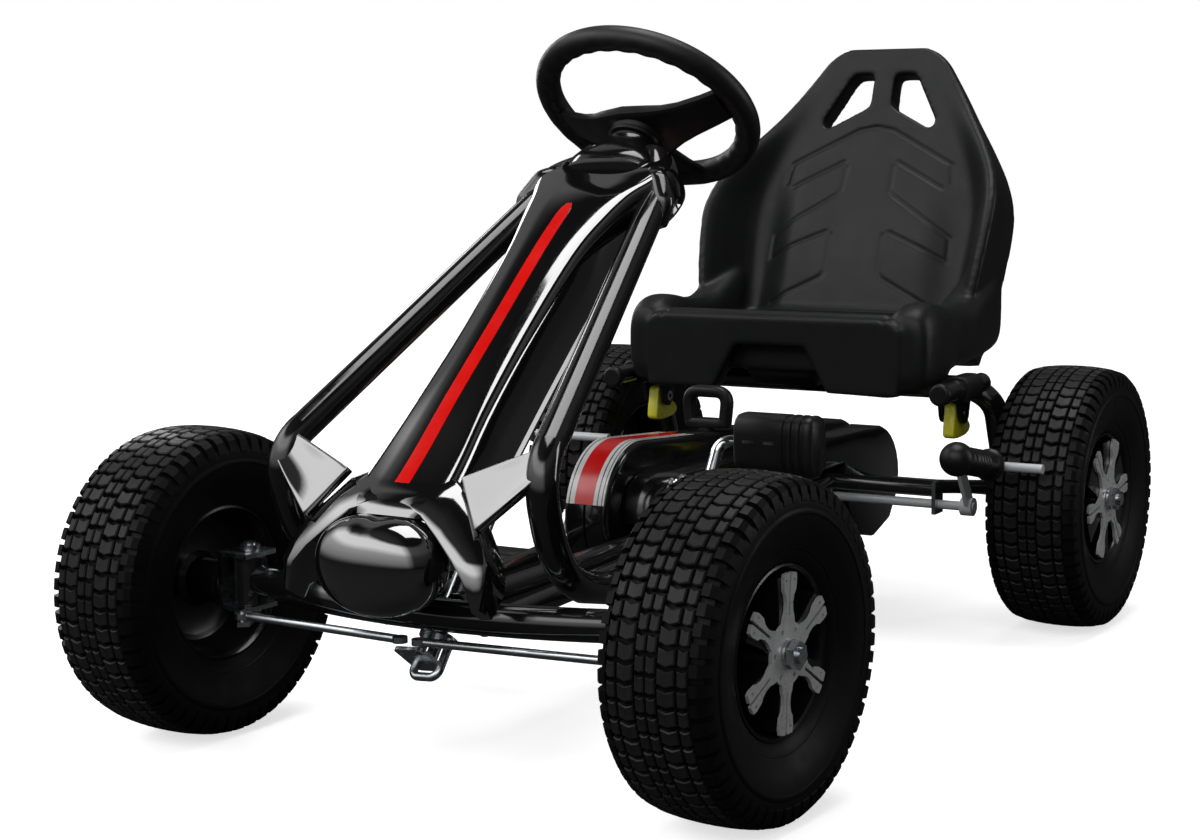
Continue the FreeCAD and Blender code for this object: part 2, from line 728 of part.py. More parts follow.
def belt_face(front_radius, rear_radius, at_x):
    """Outline of a loop round the pedal axis and the rear axle, in a plane of constant x."""
    front = V(at_x, float(size.pedal_axis_y), float(size.pedal_axis_z))
    rear = V(at_x, float(size.rear_axle_y), float(size.wheel_radius))
    span = rear - front
    heading = math.atan2(span.z, span.y)
    lean = math.acos((front_radius - rear_radius) / span.Length)

    def on(centre, radius, angle):
        return centre + V(0, math.cos(angle), math.sin(angle)) * radius

    upper, lower = heading + lean, heading - lean
    edges = [
        Part.Arc(on(front, front_radius, upper), on(front, front_radius, heading + math.pi),
                 on(front, front_radius, lower)).toShape(),
        Part.LineSegment(on(front, front_radius, lower), on(rear, rear_radius, lower)).toShape(),
        Part.Arc(on(rear, rear_radius, lower), on(rear, rear_radius, heading),
                 on(rear, rear_radius, upper)).toShape(),
        Part.LineSegment(on(rear, rear_radius, upper), on(front, front_radius, upper)).toShape()]
    return Part.Face(Part.Wire(edges))


def belt_solid(front_radius, rear_radius, x_from, x_to):
    return belt_face(front_radius, rear_radius, x_from).extrude(V(x_to - x_from, 0, 0))


def pedal_offset():
    angle = math.radians(float(size.crank_angle))
    reach = float(size.crank_radius)
    return reach * math.cos(angle), reach * math.sin(angle)


PEDAL_DY, PEDAL_DZ = pedal_offset()
CRANK_Y, CRANK_Z = float(size.pedal_axis_y), float(size.pedal_axis_z)


def crank():
    """One-piece bent crank with the chainring on it, and a pedal on each end."""
    arm = float(size.crank_arm_x)
    tip = float(size.pedal_centre_x) + float(size.pedal_length) / 2 - 2
    path = [(tip, CRANK_Y + PEDAL_DY, CRANK_Z + PEDAL_DZ),
            (arm, CRANK_Y + PEDAL_DY, CRANK_Z + PEDAL_DZ), (arm, CRANK_Y, CRANK_Z),
            (-arm, CRANK_Y, CRANK_Z), (-arm, CRANK_Y - PEDAL_DY, CRANK_Z - PEDAL_DZ),
            (-tip, CRANK_Y - PEDAL_DY, CRANK_Z - PEDAL_DZ)]
    feature("crank_rod", rod_shape(path, size.crank_rod, 12))
    for name, side in SIDES.items():
        pedal("pedal_" + name, x=size.pedal_centre_x * side,
              y=size.pedal_axis_y + PEDAL_DY * side, z=size.pedal_axis_z + PEDAL_DZ * side)


def pedal(label, **where):
    """Moulded block with rounded long edges, bored for the spindle."""
    body = new_body(label)
    sketch = new_sketch(body, "YZ_Plane")
    deep, high = size.pedal_depth / 2, size.pedal_height / 2
    outline(sketch, [(-deep, -high), (deep, -high), (deep, high), (-deep, high)])
    circle(sketch, 0, 0, size.crank_rod + size.running_gap)
    tread = pad(body, sketch, size.pedal_length, midplane=True)
    long_edge = float(size.pedal_length) - 0.01

    def is_corner(edge):
        middle = edge.valueAt(edge.FirstParameter)
        return edge.BoundBox.XLength > long_edge and abs(middle.y) > 10

    round_edges(body, tread, 9, is_corner)
    place(body, **where)


def toothed_disc(label, radius, holes, hole_circle, hole_radius, bore, **where):
    """Sprocket blank with a ring of lightening holes."""
    body = new_body(label)
    sketch = new_sketch(body, "YZ_Plane")
    circle(sketch, 0, 0, radius)
    circle(sketch, 0, 0, bore)
    pad(body, sketch, 3, midplane=True)
    window = new_sketch(body, "YZ_Plane")
    circle(window, hole_circle, 0, hole_radius)
    cut = pocket(body, window, 8, midplane=True)
    doc.recompute()
    ring = body.newObject("PartDesign::PolarPattern", label + "_holes")
    ring.Originals = [cut]
    ring.Axis = (window, ["N_Axis"])
    ring.Angle = 360
    ring.Occurrences = holes
    body.Tip = ring
    place(body, **where)


def chain():
    half = float(size.chain_width) / 2
    thick = float(size.chain_thick)
    ring, cog = float(size.chainring_radius) + 1, float(size.sprocket_radius) + 1
    x = float(size.chain_x)
    loop = belt_solid(ring + thick, cog + thick, x - half, x + half)
    feature("chain", loop.cut(belt_solid(ring, cog, x - half - 1, x + half + 1)))


SELECTOR_Y = 85
SELECTOR_STEM = 6


def chain_case():
    """Two moulded halves round the chain, and the deeper cover on the left of them."""
    wall = float(size.case_wall)
    nose, tail = float(size.case_nose), float(size.case_tail)
    right, left = float(size.case_right_x), float(size.case_left_x)
    seam = (right + left) / 2
    holes = [along_x(9, -100, 100, CRANK_Y, CRANK_Z),
             along_x(9, -100, 100, size.rear_axle_y, size.wheel_radius),
             along_x(8, -100, 100, size.brake_y, size.brake_z)]
    stem = SELECTOR_STEM + float(size.running_gap)
    holes.append(straight_rod((seam, SELECTOR_Y, 190), (seam, SELECTOR_Y, 240), stem))
    for name, outer, inner in (("right", right, right + wall), ("left", left, left - wall)):
        low, high = sorted((outer, seam))
        cavity = sorted((inner, seam + (seam - outer)))
        shell = belt_solid(nose, tail, low, high)
        shell = shell.cut(belt_solid(nose - wall, tail - wall, *cavity))
        feature("chain_case_" + name, shell.cut(holes))
    case_cover(wall, left, holes)


def case_cover(wall, left, holes):
    axle_y, axle_z = float(size.rear_axle_y), float(size.wheel_radius)
    lobe = 60
    front = 40
    low_z = CRANK_Z - 10.5
    step_z = float(size.cross_z) + float(size.cross_radius) + 3
    start = V(left, CRANK_Y - math.sqrt(front ** 2 - (CRANK_Z - low_z) ** 2), low_z)
    top = V(left, CRANK_Y, CRANK_Z + front)
    crown = V(left, CRANK_Y - front * math.cos(math.radians(40)),
              CRANK_Z + front * math.sin(math.radians(40)))
    lobe_top = V(left, axle_y, axle_z + lobe)
    lobe_low = V(left, axle_y - 20, axle_z - math.sqrt(lobe ** 2 - 20 ** 2))
    ridge = V(left, axle_y - 72, axle_z - 20)
    notch = [V(left, axle_y - 72, step_z), V(left, float(size.cross_y) - 16, step_z),
             V(left, float(size.cross_y) - 20, low_z)]
    edges = [Part.Arc(start, crown, top).toShape(), Part.LineSegment(top, lobe_top).toShape(),
             Part.Arc(lobe_top, V(left, axle_y + lobe, axle_z), lobe_low).toShape()]
    stops = [lobe_low, ridge] + notch + [start]
    edges += [Part.LineSegment(a, b).toShape() for a, b in zip(stops, stops[1:])]
    face = Part.Face(Part.Wire(edges))
    depth = float(size.cover_x) - left
    solid = face.extrude(V(depth, 0, 0))
    inner = face.makeOffset2D(-wall).extrude(V(depth - wall, 0, 0))
    shell_room = along_x(12.4, left, 44.4, CRANK_Y, CRANK_Z)
    feature("case_cover", solid.cut(inner).cut(holes[:2] + [shell_room]))


def crank_shell():
    """Bottom bracket welded on top of the backbone."""
    outer = along_x(12, size.main_x - size.main_radius, 44, CRANK_Y, CRANK_Z)
    bore = along_x(size.crank_rod + size.running_gap, -100, 100, CRANK_Y, CRANK_Z)
    feature("crank_shell", outer.cut(bore))


def rear_axle():
    body, _ = turned("rear_axle", [(-size.track_half - 52, 0), (-size.track_half - 52, 6),
                                   (size.track_half + 52, 6), (size.track_half + 52, 0)])
    place(body, y=size.rear_axle_y, z=size.wheel_radius)
    start = float(size.track_half) + float(size.hub_outer_end) + float(size.spider_thick)
    nuts = [nut_shape(side, start + NUT_GAP) for side in SIDES.values()]
    feature("hub_nuts_rear", Part.makeCompound(nuts), y=size.rear_axle_y, z=size.wheel_radius)


crank()
toothed_disc("chainring", size.chainring_radius, 5, 28, 9, size.crank_rod,
             x=size.chain_x, y=size.pedal_axis_y, z=size.pedal_axis_z)
toothed_disc("rear_sprocket", size.sprocket_radius, 6, 18, 4.5, size.axle_radius,
             x=size.chain_x, y=size.rear_axle_y, z=size.wheel_radius)
chain()
chain_case()
crank_shell()
rear_axle()


def selector():
    """D handle above the chain case, on a stem that slides through the top of it."""
    x = (float(size.case_right_x) + float(size.case_left_x)) / 2
    y = SELECTOR_Y
    low, top = 221, 249.5
    ring = []
    for side in SIDES.values():
        ring.append(rod_shape([(x, y, low), (x + 22 * side, y, low), (x + 25 * side, y, top),
                               (x, y, top)], 6.5, 9))
    stem = straight_rod((x, y, 186), (x, y, low), SELECTOR_STEM)
    feature("selector_handle", ring[0].fuse([ring[1], stem]))


selector()

# ---------------------------------------------------------------- brake


def brake():
    """Cross shaft under the rear cross tube, an arm and a bar at each side, and the hand lever."""
    y, z = float(size.brake_y), float(size.brake_z)
    bar_y, bar_z = float(size.brake_bar_y), float(size.brake_bar_z)
    arm_x = float(size.brake_arm_x)
    shape = along_x(size.brake_rod, -arm_x - 4, arm_x + 4, y, z)
    for side in SIDES.values():
        shape = shape.fuse(along_x(9, (arm_x - 9) * side, (arm_x + 3) * side, y, z))
        reach = math.hypot(bar_y - y, bar_z - z)
        arm = block(((arm_x - 3) * side, (arm_x + 1) * side), (-7, 7), (0, reach))
        arm.rotate(V(0, 0, 0), V(1, 0, 0), math.degrees(math.atan2(y - bar_y, bar_z - z)))
        arm.translate(V(0, y, z))
        bar = along_x(4.5, (arm_x - 5) * side, float(size.brake_bar_x) * side, bar_y, bar_z)
        shape = shape.fuse([arm, bar])
    start = V(float(size.brake_lever_x) + 1, bar_y, bar_z)
    tip = start + V(-5, -84, 18)
    shape = shape.fuse(straight_rod(start, tip, 5))
    feature("brake_shaft", shape)
    along = (tip - start).normalize()
    low = start + along * 9
    grip = Part.makeCylinder(11, float(size.grip_length) - 6, low, along)
    flange = Part.makeCylinder(14.5, 4, low, along)
    ball = Part.makeSphere(16.5, low + along * (float(size.grip_length) - 6))
    feature("brake_grip", grip.fuse([flange, ball]).cut(straight_rod(start, tip, 5)))
    plates = []
    for side in SIDES.values():
        plate = block((size.cross_half * side, (size.cross_half + 4) * side), (y - 10, y + 10),
                      (z - 9, float(size.cross_z) + 8))
        bore = along_x(size.brake_rod + size.running_gap, -400, 400, y, z)
        plates.append(plate.cut(bore))
    feature("brake_plates", Part.makeCompound(plates))


brake()

# ---------------------------------------------------------------- seat


def seat_base():
    """Front roll, belly under it and the pan behind."""
    front, half = float(size.seat_front_y), float(size.seat_base_half)
    low, lip, pan = float(size.seat_bottom_z), float(size.seat_lip_z), float(size.seat_pan_z)
    profile = [(front + 22, low), (front + 78, low + 3), (front + 92, low + 20), (440, low + 20),
               (445, pan + 20), (front + 75, pan), (front + 50, lip - 6), (front + 30, lip),
               (front + 8, lip - 5), (front, lip - 24), (front + 6, low + 22)]
    wire = Part.makePolygon([V(-half, y, z) for y, z in profile + profile[:1]])
    base = Part.Face(wire).extrude(V(2 * half, 0, 0))
    return softened(base, 6, lambda e: e.BoundBox.XLength > 200 and e.BoundBox.YMax < front + 60)


def seat_arm(side):
    """Bolster beside the pan, rising from the belly to the side of the back."""
    half = float(size.seat_base_half)
    front, lip = float(size.seat_front_y), float(size.seat_lip_z)
    low = float(size.seat_bottom_z)
    profile = [(front + 14, low + 6), (front + 70, low), (front + 96, low + 18), (440, low + 22),
               (436, lip + 60), (400, lip + 34), (front + 120, lip + 4), (front + 62, lip + 10),
               (front + 26, lip + 6), (front + 6, lip - 24)]
    start = (half - 14) * side
    wire = Part.makePolygon([V(start, y, z) for y, z in profile + profile[:1]])
    arm = Part.Face(wire).extrude(V(42 * side, 0, 0))
    outer = 0.5 * (start + start + 42 * side) + 20 * side
    return softened(arm, 9, lambda e: abs(e.BoundBox.Center.x - outer) < 1.5)


def seat_back():
    """Tall back with two hand holes, leaning rearward, with a bolster down each edge."""
    thick = float(size.seat_back_thick)
    tall = float(size.seat_back_height)
    outline_points = [(-150, -38), (150, -38), (168, 96), (160, 150), (74, 284), (56, tall - 2),
                      (40, tall), (-40, tall), (-56, tall - 2), (-74, 284), (-160, 150), (-168, 96)]
    wire = Part.makePolygon([V(x, 0, z) for x, z in outline_points + outline_points[:1]])
    back = Part.Face(wire).extrude(V(0, thick, 0))
    back = softened(back, 12, lambda e: abs(e.BoundBox.Center.y - thick) < 0.1)
    for side in SIDES.values():
        hole_points = [(12, 276), (36, 276), (66, 222), (60, 214), (12, 240)]
        hole = Part.makePolygon([V(x * side, -5, z) for x, z in hole_points + hole_points[:1]])
        back = back.cut(Part.Face(hole).extrude(V(0, thick + 10, 0)))
        edge = [(150, -30), (167, 96), (158, 150), (96, 248), (84, 244), (136, 148), (142, 90),
                (132, -30)]
        rib = Part.makePolygon([V(x * side, 2, z) for x, z in edge + edge[:1]])
        rib = Part.Face(rib).extrude(V(0, -62, 0))
        depth = [(2, -30), (-50, -30), (-60, 40), (-60, 100), (-46, 155), (-6, 248), (2, 250)]
        wedge = Part.makePolygon([V(-200, y, z) for y, z in depth + depth[:1]])
        back = back.fuse(rib.common(Part.Face(wedge).extrude(V(400, 0, 0))))
    back.rotate(V(0, 0, 0), V(1, 0, 0), -float(size.seat_back_tilt))
    back.translate(V(0, float(size.seat_back_foot_y), float(size.seat_back_foot_z)))
    return back


def seat_bracket(side, shell):
    """Block that slides on the rail, its two ears with the lever's pin, and a hanger to the seat."""
    rail_z, rail_x = float(size.rail_z), float(size.rail_x)
    front, rear = float(size.slider_y), float(size.slider_y + size.slider_length)
    pivot_y, pivot_z = float(size.lever_pivot_y), float(size.lever_pivot_z)
    low = rail_z - 14
    body = block(((rail_x - 12) * side, (rail_x + 13) * side), (front, rear), (low, rail_z + 14))
    body = body.cut(straight_rod((rail_x * side, 100, rail_z), (rail_x * side, 400, rail_z),
                                 size.rail_radius + size.running_gap))
    for inner in (rail_x - 26, rail_x - 7):
        ear = block((inner * side, (inner + 5) * side), (front + 14, rear), (pivot_z - 12, low))
        body = body.fuse(softened(ear, 9, lambda e: e.BoundBox.XLength > 4
                                  and e.BoundBox.ZMax < pivot_z - 11))
    hanger = block(((rail_x - 26) * side, (rail_x - 12) * side), (front, rear),
                   (low, rail_z + 14)).cut(shell)
    hanger = min(hanger.Solids, key=lambda s: s.CenterOfMass.z)
    pivot = along_x(2.5, (rail_x - 26) * side, (rail_x - 2) * side, pivot_y, pivot_z)
    return body.fuse([hanger, pivot])


def seat():
    shell = seat_base()
    shell = shell.fuse([seat_arm(side) for side in SIDES.values()] + [seat_back()])
    feature("seat_shell", shell)
    brackets = [seat_bracket(side, shell) for side in SIDES.values()]
    feature("seat_brackets", Part.makeCompound(brackets))
    for name, side in SIDES.items():
        lock_lever("lock_lever_" + name, side)


def lock_lever(label, side):
    """Hook-shaped lever between the bracket's ears."""
    centre = (float(size.rail_x) - 14) * side
    profile = [(-8, 6), (-9, -10), (-14, -24), (-4, -25), (16, -22), (26, -10), (20, -7),
               (8, -11), (7, 6)]
    start = V(-6.2, 0, 0)
    wire = Part.makePolygon([start + V(0, y, z) for y, z in profile + profile[:1]])
    lever = Part.Face(wire).extrude(V(12.4, 0, 0))
    lever = softened(lever, 1.5)
    lever = lever.cut(along_x(2.5 + float(size.running_gap), -20, 20))
    feature(label, lever, x=centre, y=size.lever_pivot_y, z=size.lever_pivot_z)


seat()

# ---------------------------------------------------------------- fairing


def fairing_section(y, z, half, depth, slope):
    """Closed outline across the shell: flat crown, shoulders and deep sides."""
    points = [(-half, -depth), (-half, -9), (-half + 9, 0), (half - 9, 0), (half, -9),
              (half, -depth)]
    lean = math.radians(slope)
    out = V(0, -math.sin(lean), math.cos(lean))
    corners = [V(x, y, z) + out * w for x, w in points]
    return Part.makePolygon(corners + corners[:1])


def fairing():
    sections = [fairing_section(-96, 480, 28, 30, 20), fairing_section(-150, 463, 40, 42, 28),
                fairing_section(-200, 437, 43, 50, 38), fairing_section(-240, 405, 37, 56, 39),
                fairing_section(-309, 349, 34, 60, 39), fairing_section(-371, 299, 36, 60, 40),
                fairing_section(-420, 258, 42, 58, 42), fairing_section(-452, 234, 48, 46, 50)]
    shell = Part.makeLoft(sections, True, True)
    for side in SIDES.values():
        shell = shell.fuse(fairing_leg(side))
    tilt = float(size.column_tilt)
    hollow = Part.makeCylinder(18, 350, V(0, 0, -300))
    hollow.rotate(V(0, 0, 0), V(1, 0, 0), -tilt)
    hollow.translate(V(0, float(size.steer_centre_y), float(size.steer_centre_z)))
    shell = shell.cut([hollow, beam_solid(size.beam_radius + 0.2)])
    tubes = [frame_solid(side, size.frame_radius + 0.2) for side in SIDES.values()]
    return shell.cut([above_head_plate(0.5)] + tubes)


def leg_section(side, x, y, z, half, depth):
    corners = [V(x - half, y, z), V(x + half, y, z), V(x + half, y + depth, z - 6),
               V(x - half, y + depth, z - 6)]
    corners = [V(c.x * side, c.y, c.z) for c in corners]
    return Part.makePolygon(corners + corners[:1])


def fairing_leg(side):
    return Part.makeLoft([leg_section(side, 36, -449, 238, 19, 40),
                          leg_section(side, 62, -464, 206, 17, 44),
                          leg_section(side, 84, -475, 180, 11, 42),
                          leg_section(side, 87, -477, 160, 9, 38)], True, True)


def nose():
    """Rounded nose bulb between the fairing's legs, and the two side wings."""
    stretch = FreeCAD.Matrix()
    stretch.scale(5.5, 3.9, 3.6)
    solid = Part.makeSphere(10).transformGeometry(stretch)
    solid.rotate(V(0, 0, 0), V(1, 0, 0), 90)
    solid.translate(V(0, -470, 183))
    shell = fairing()
    solid = solid.cut([shell, beam_solid(size.beam_radius + 0.2)])
    feature("fairing", shell)
    feature("nose_bulb", max(solid.Solids, key=lambda s: s.Volume))
    for name, side in SIDES.items():
        corners = [(52, -439, 249), (118, -427, 275), (125, -441, 257), (79, -463, 214)]
        wire = Part.makePolygon([V(x * side, y, z) for x, y, z in corners + corners[:1]])
        wing = Part.makeFilledFace(wire.Edges).extrude(V(0, 10, 3))
        tubes = frame_solid(side, size.frame_radius + 0.2)
        wing = wing.cut([shell, tubes])
        feature("wing_" + name, max(wing.Solids, key=lambda s: s.Volume))


nose()

# ---------------------------------------------------------------- checks and export

doc.recompute()
box = FreeCAD.BoundBox()
for thing in NODES:
    if "Invalid" in thing.State or "Error" in thing.State:
        raise RuntimeError("failed: " + thing.Label)
    if thing.Shape.isNull() or not thing.Shape.isValid() or thing.Shape.Volume <= 0:
        raise RuntimeError("bad shape: " + thing.Label)
    box.add(thing.Shape.BoundBox)
for thing in doc.Objects:
    if "Invalid" in thing.State or "Error" in thing.State:
        raise RuntimeError("failed: " + thing.Name)

os.makedirs("parts", exist_ok=True)
for thing in NODES:
    thing.Shape.exportStep("parts/%s.step" % thing.Label)
print(len(NODES), "nodes; box", box)
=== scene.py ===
import math

import bmesh
import bpy
from mathutils import Matrix, Vector


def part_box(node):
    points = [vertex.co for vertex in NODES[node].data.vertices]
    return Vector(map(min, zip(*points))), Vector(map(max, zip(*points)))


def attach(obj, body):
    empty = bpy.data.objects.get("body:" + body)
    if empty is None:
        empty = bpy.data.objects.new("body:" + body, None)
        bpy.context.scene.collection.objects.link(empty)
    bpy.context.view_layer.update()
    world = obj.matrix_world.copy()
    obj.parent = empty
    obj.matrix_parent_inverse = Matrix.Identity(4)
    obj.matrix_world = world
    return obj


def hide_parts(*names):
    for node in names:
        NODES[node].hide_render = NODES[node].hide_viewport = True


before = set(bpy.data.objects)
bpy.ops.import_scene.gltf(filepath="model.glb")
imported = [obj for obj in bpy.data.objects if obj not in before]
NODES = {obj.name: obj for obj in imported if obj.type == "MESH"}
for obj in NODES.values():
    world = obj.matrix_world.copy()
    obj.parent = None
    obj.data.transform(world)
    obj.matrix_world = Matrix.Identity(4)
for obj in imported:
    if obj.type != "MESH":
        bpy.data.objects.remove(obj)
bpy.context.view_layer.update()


# Lengths are millimetres in the kart's frame: +X the driver's left, -Y the front, +Z up.
MM = 0.001
SIDES = {"left": 1, "right": -1}
# (y, z) of the pedal axis and of the rear axle
CRANK = (-86, 162)
AXLE = (340, 130)

# ------------------------------------------------------------------ mesh helpers


def mark_sharp(bm, degrees):
    """Smooth faces, with a hard edge wherever two of them meet at more than this angle."""
    limit = math.radians(degrees)
    for face in bm.faces:
        face.smooth = True
    for edge in bm.edges:
        flat = len(edge.link_faces) == 2 and edge.calc_face_angle(0) < limit
        edge.smooth = flat


def piece_from(bm, name, materials, body, replaces=(), matrix=None, sharp=35):
    """Turn a bmesh in millimetres into a piece that rides on a body."""
    if matrix is not None:
        bm.transform(matrix)
    bm.transform(Matrix.Scale(MM, 4))
    bmesh.ops.recalc_face_normals(bm, faces=bm.faces)
    mark_sharp(bm, sharp)
    mesh = bpy.data.meshes.new(name)
    bm.to_mesh(mesh)
    bm.free()
    for material in materials if isinstance(materials, (list, tuple)) else [materials]:
        mesh.materials.append(material)
    piece = bpy.data.objects.new(name, mesh)
    bpy.context.scene.collection.objects.link(piece)
    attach(piece, body)
    if replaces:
        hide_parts(*replaces)
    return piece


def bake_modifiers(piece):
    """Replace a piece's mesh with what its modifiers make of it."""
    depsgraph = bpy.context.evaluated_depsgraph_get()
    made = bpy.data.meshes.new_from_object(piece.evaluated_get(depsgraph))
    old = piece.data
    piece.modifiers.clear()
    piece.data = made
    made.materials.clear()
    for material in old.materials:
        made.materials.append(material)
    bpy.data.meshes.remove(old)


def ring_faces(bm, rings, closed_rings=False):
    """Quads between successive rings of vertices, each ring closed on itself."""
    pairs = list(zip(rings, rings[1:]))
    if closed_rings:
        pairs.append((rings[-1], rings[0]))
    for a, b in pairs:
        for i in range(len(a)):
            j = (i + 1) % len(a)
            bm.faces.new((a[i], a[j], b[j], b[i]))


def skin(bm, rings):
    """Quads between rings of vertices, and a cap at each end."""
    ring_faces(bm, rings)
    bm.faces.new(list(reversed(rings[0])))
    bm.faces.new(rings[-1])


def loft(bm, sections):
    """Closed skin over sections that have the same number of points."""
    skin(bm, [[bm.verts.new(p) for p in section] for section in sections])


def lathe(bm, profile, steps=72, matrix=None):
    """Revolve a closed (axial, radius) profile about X, then place it."""
    first = len(bm.verts)
    rings = []
    for k in range(steps):
        angle = 2 * math.pi * k / steps
        c, s = math.cos(angle), math.sin(angle)
        rings.append([bm.verts.new((x, r * s, r * c)) for x, r in profile])
    ring_faces(bm, rings, closed_rings=True)
    if matrix is not None:
        bm.verts.ensure_lookup_table()
        bmesh.ops.transform(bm, matrix=matrix, verts=bm.verts[first:])


def plate(bm, outline, thick, matrix, holes=()):
    """Flat plate in the local XY plane from z=0 to z=thick, with holes through it."""
    edges = []
    for ring in [outline] + list(holes):
        verts = [bm.verts.new((x, y, 0)) for x, y in ring]
        edges += [bm.edges.new((a, b)) for a, b in zip(verts, verts[1:] + verts[:1])]
    filled = bmesh.ops.triangle_fill(bm, use_beauty=True, use_dissolve=False, edges=edges)
    faces = [g for g in filled["geom"] if isinstance(g, bmesh.types.BMFace)]
    grown = bmesh.ops.extrude_face_region(bm, geom=faces, use_keep_orig=True)
    top = [g for g in grown["geom"] if isinstance(g, bmesh.types.BMVert)]
    bmesh.ops.translate(bm, verts=top, vec=(0, 0, thick))
    whole = {v for f in faces for v in f.verts} | set(top)
    bmesh.ops.transform(bm, matrix=matrix, verts=list(whole))


def inset_outline(points, amount):
    """Move each corner of a closed outline inward by about the amount."""
    area = sum(a[0] * b[1] - b[0] * a[1] for a, b in zip(points, points[1:] + points[:1]))
    sign = 1 if area > 0 else -1
    moved = []
    for k, (x, y) in enumerate(points):
        before, after = points[k - 1], points[(k + 1) % len(points)]
        n1 = Vector((before[1] - y, x - before[0])).normalized() * sign
        n2 = Vector((y - after[1], after[0] - x)).normalized() * sign
        middle = n1 + n2
        reach = amount / max(0.35, middle.length_squared / 2)
        moved.append((x + middle.x * reach, y + middle.y * reach))
    return moved


def rounded_corners(points, radius, steps=4):
    """Closed outline with each corner cut back by about the radius and rounded."""
    rounded = []
    for k, corner in enumerate(points):
        corner = Vector(corner)
        before, after = Vector(points[k - 1]), Vector(points[(k + 1) % len(points)])
        back, on = before - corner, after - corner
        reach = min(radius, 0.45 * back.length, 0.45 * on.length)
        first, last = corner + back.normalized() * reach, corner + on.normalized() * reach
        for i in range(steps + 1):
            point = curve_point(first, corner, last, i / steps)
            rounded.append((point.x, point.y))
    return rounded


def bevelled_plate(bm, outline, thick, edge, matrix):
    """Plate in the local XY plane whose rims are rounded over by the edge width."""
    sections = [(z * edge, inset * edge) for z, inset in ((0, 1.0), (0.3, 0.3), (1.0, 0.0))]
    sections += [(thick - z, inset) for z, inset in reversed(sections)]
    loft(bm, [[matrix @ Vector((x, y, z)) for x, y in inset_outline(outline, inset)]
              for z, inset in sections])


def ellipse(centre, across, up, rx, ry, count, power=2.0):
    """Closed superellipse section in the plane of two unit vectors."""
    points = []
    for k in range(count):
        angle = 2 * math.pi * k / count
        c, s = math.cos(angle), math.sin(angle)
        x = rx * math.copysign(abs(c) ** (2 / power), c)
        y = ry * math.copysign(abs(s) ** (2 / power), s)
        points.append(Vector(centre) + Vector(across) * x + Vector(up) * y)
    return points


def curve_point(first, corner, last, t):
    """Point at t along the parabola from first to last, with its control point at the corner."""
    return first * (1 - t) ** 2 + corner * 2 * t * (1 - t) + last * t ** 2


def bent_path(points, radius, steps=8):
    """Straight runs with round corners, as a list of points."""
    points = [Vector(p) for p in points]
    path = [points[0]]
    for before, corner, after in zip(points, points[1:], points[2:]):
        toward = (before - corner).normalized()
        away = (after - corner).normalized()
        reach = radius * math.tan((math.pi - toward.angle(away)) / 2)
        first, last = corner + toward * reach, corner + away * reach
        path += [curve_point(first, corner, last, k / steps) for k in range(steps + 1)]
    return path + [points[-1]]


def sweep(bm, path, radii, sides=16):
    """Round bar along a list of points, with its own radius at each of them."""
    normal = None
    sections = []
    for k, (point, radius) in enumerate(zip(path, radii)):
        ahead = path[min(k + 1, len(path) - 1)] - path[max(k - 1, 0)]
        ahead.normalize()
        if normal is None:
            normal = ahead.orthogonal().normalized()
        normal = (normal - ahead * normal.dot(ahead)).normalized()
        sections.append(ellipse(point, normal, ahead.cross(normal), radius, radius, sides))
    loft(bm, sections)


def axis_matrix(origin, x_axis, y_axis, z_axis):
    rows = [list(v) for v in zip(x_axis, y_axis, z_axis)]
    return Matrix([rows[i] + [origin[i]] for i in range(3)] + [[0, 0, 0, 1]])


def side_on(x):
    """Plates drawn as (y, z) outlines that start at x and grow to the driver's left."""
    return axis_matrix((x, 0, 0), (0, 1, 0), (0, 0, 1), (1, 0, 0))


def front_on(y):
    """Plates drawn as (x, z) outlines that start at y and grow rearward."""
    return axis_matrix((0, y, 0), (1, 0, 0), (0, 0, 1), (0, 1, 0))


def smooth_step(low, high, value):
    t = min(1.0, max(0.0, (value - low) / (high - low)))
    return t * t * (3 - 2 * t)


def blend_rows(rows, per_gap=5):
    """Catmull-Rom interpolation through rows of numbers."""
    out = []
    for i in range(len(rows) - 1):
        before, a, b = rows[max(i - 1, 0)], rows[i], rows[i + 1]
        after = rows[min(i + 2, len(rows) - 1)]
        for k in range(per_gap):
            t = k / per_gap
            out.append([0.5 * (2 * q + (r - p) * t + (2 * p - 5 * q + 4 * r - s) * t * t
                               + (3 * q - p - 3 * r + s) * t ** 3)
                        for p, q, r, s in zip(before, a, b, after)])
    return out + [rows[-1]]


# ------------------------------------------------------------------ materials


def link(tree, a, b):
    tree.links.new(a, b)


def noise(tree, where, scale, detail, rough=0.5):
    cloud = tree.nodes.new("ShaderNodeTexNoise")
    cloud.inputs["Scale"].default_value = scale
    cloud.inputs["Detail"].default_value = detail
    cloud.inputs["Roughness"].default_value = rough
    link(tree, where, cloud.inputs["Vector"])
    return cloud.outputs["Fac"]


def mixed(tree, factor, first, second, how="MIX"):
    """Mix two colours; each input is a socket or a constant."""
    mix = tree.nodes.new("ShaderNodeMix")
    mix.data_type = "RGBA"
    mix.blend_type = how
    for index, value in ((0, factor), (6, first), (7, second)):
        if isinstance(value, bpy.types.NodeSocket):
            link(tree, value, mix.inputs[index])
        else:
            mix.inputs[index].default_value = (*value, 1) if index else value
    return mix.outputs[2]


GRAIN_DEPTH = 0.0006
COAT_ROUGHNESS = 0.05
SMEAR_SCALE, SCUFF_SCALE = 38, 90
WORN_FROM, WORN_TO = 0.52, 0.60


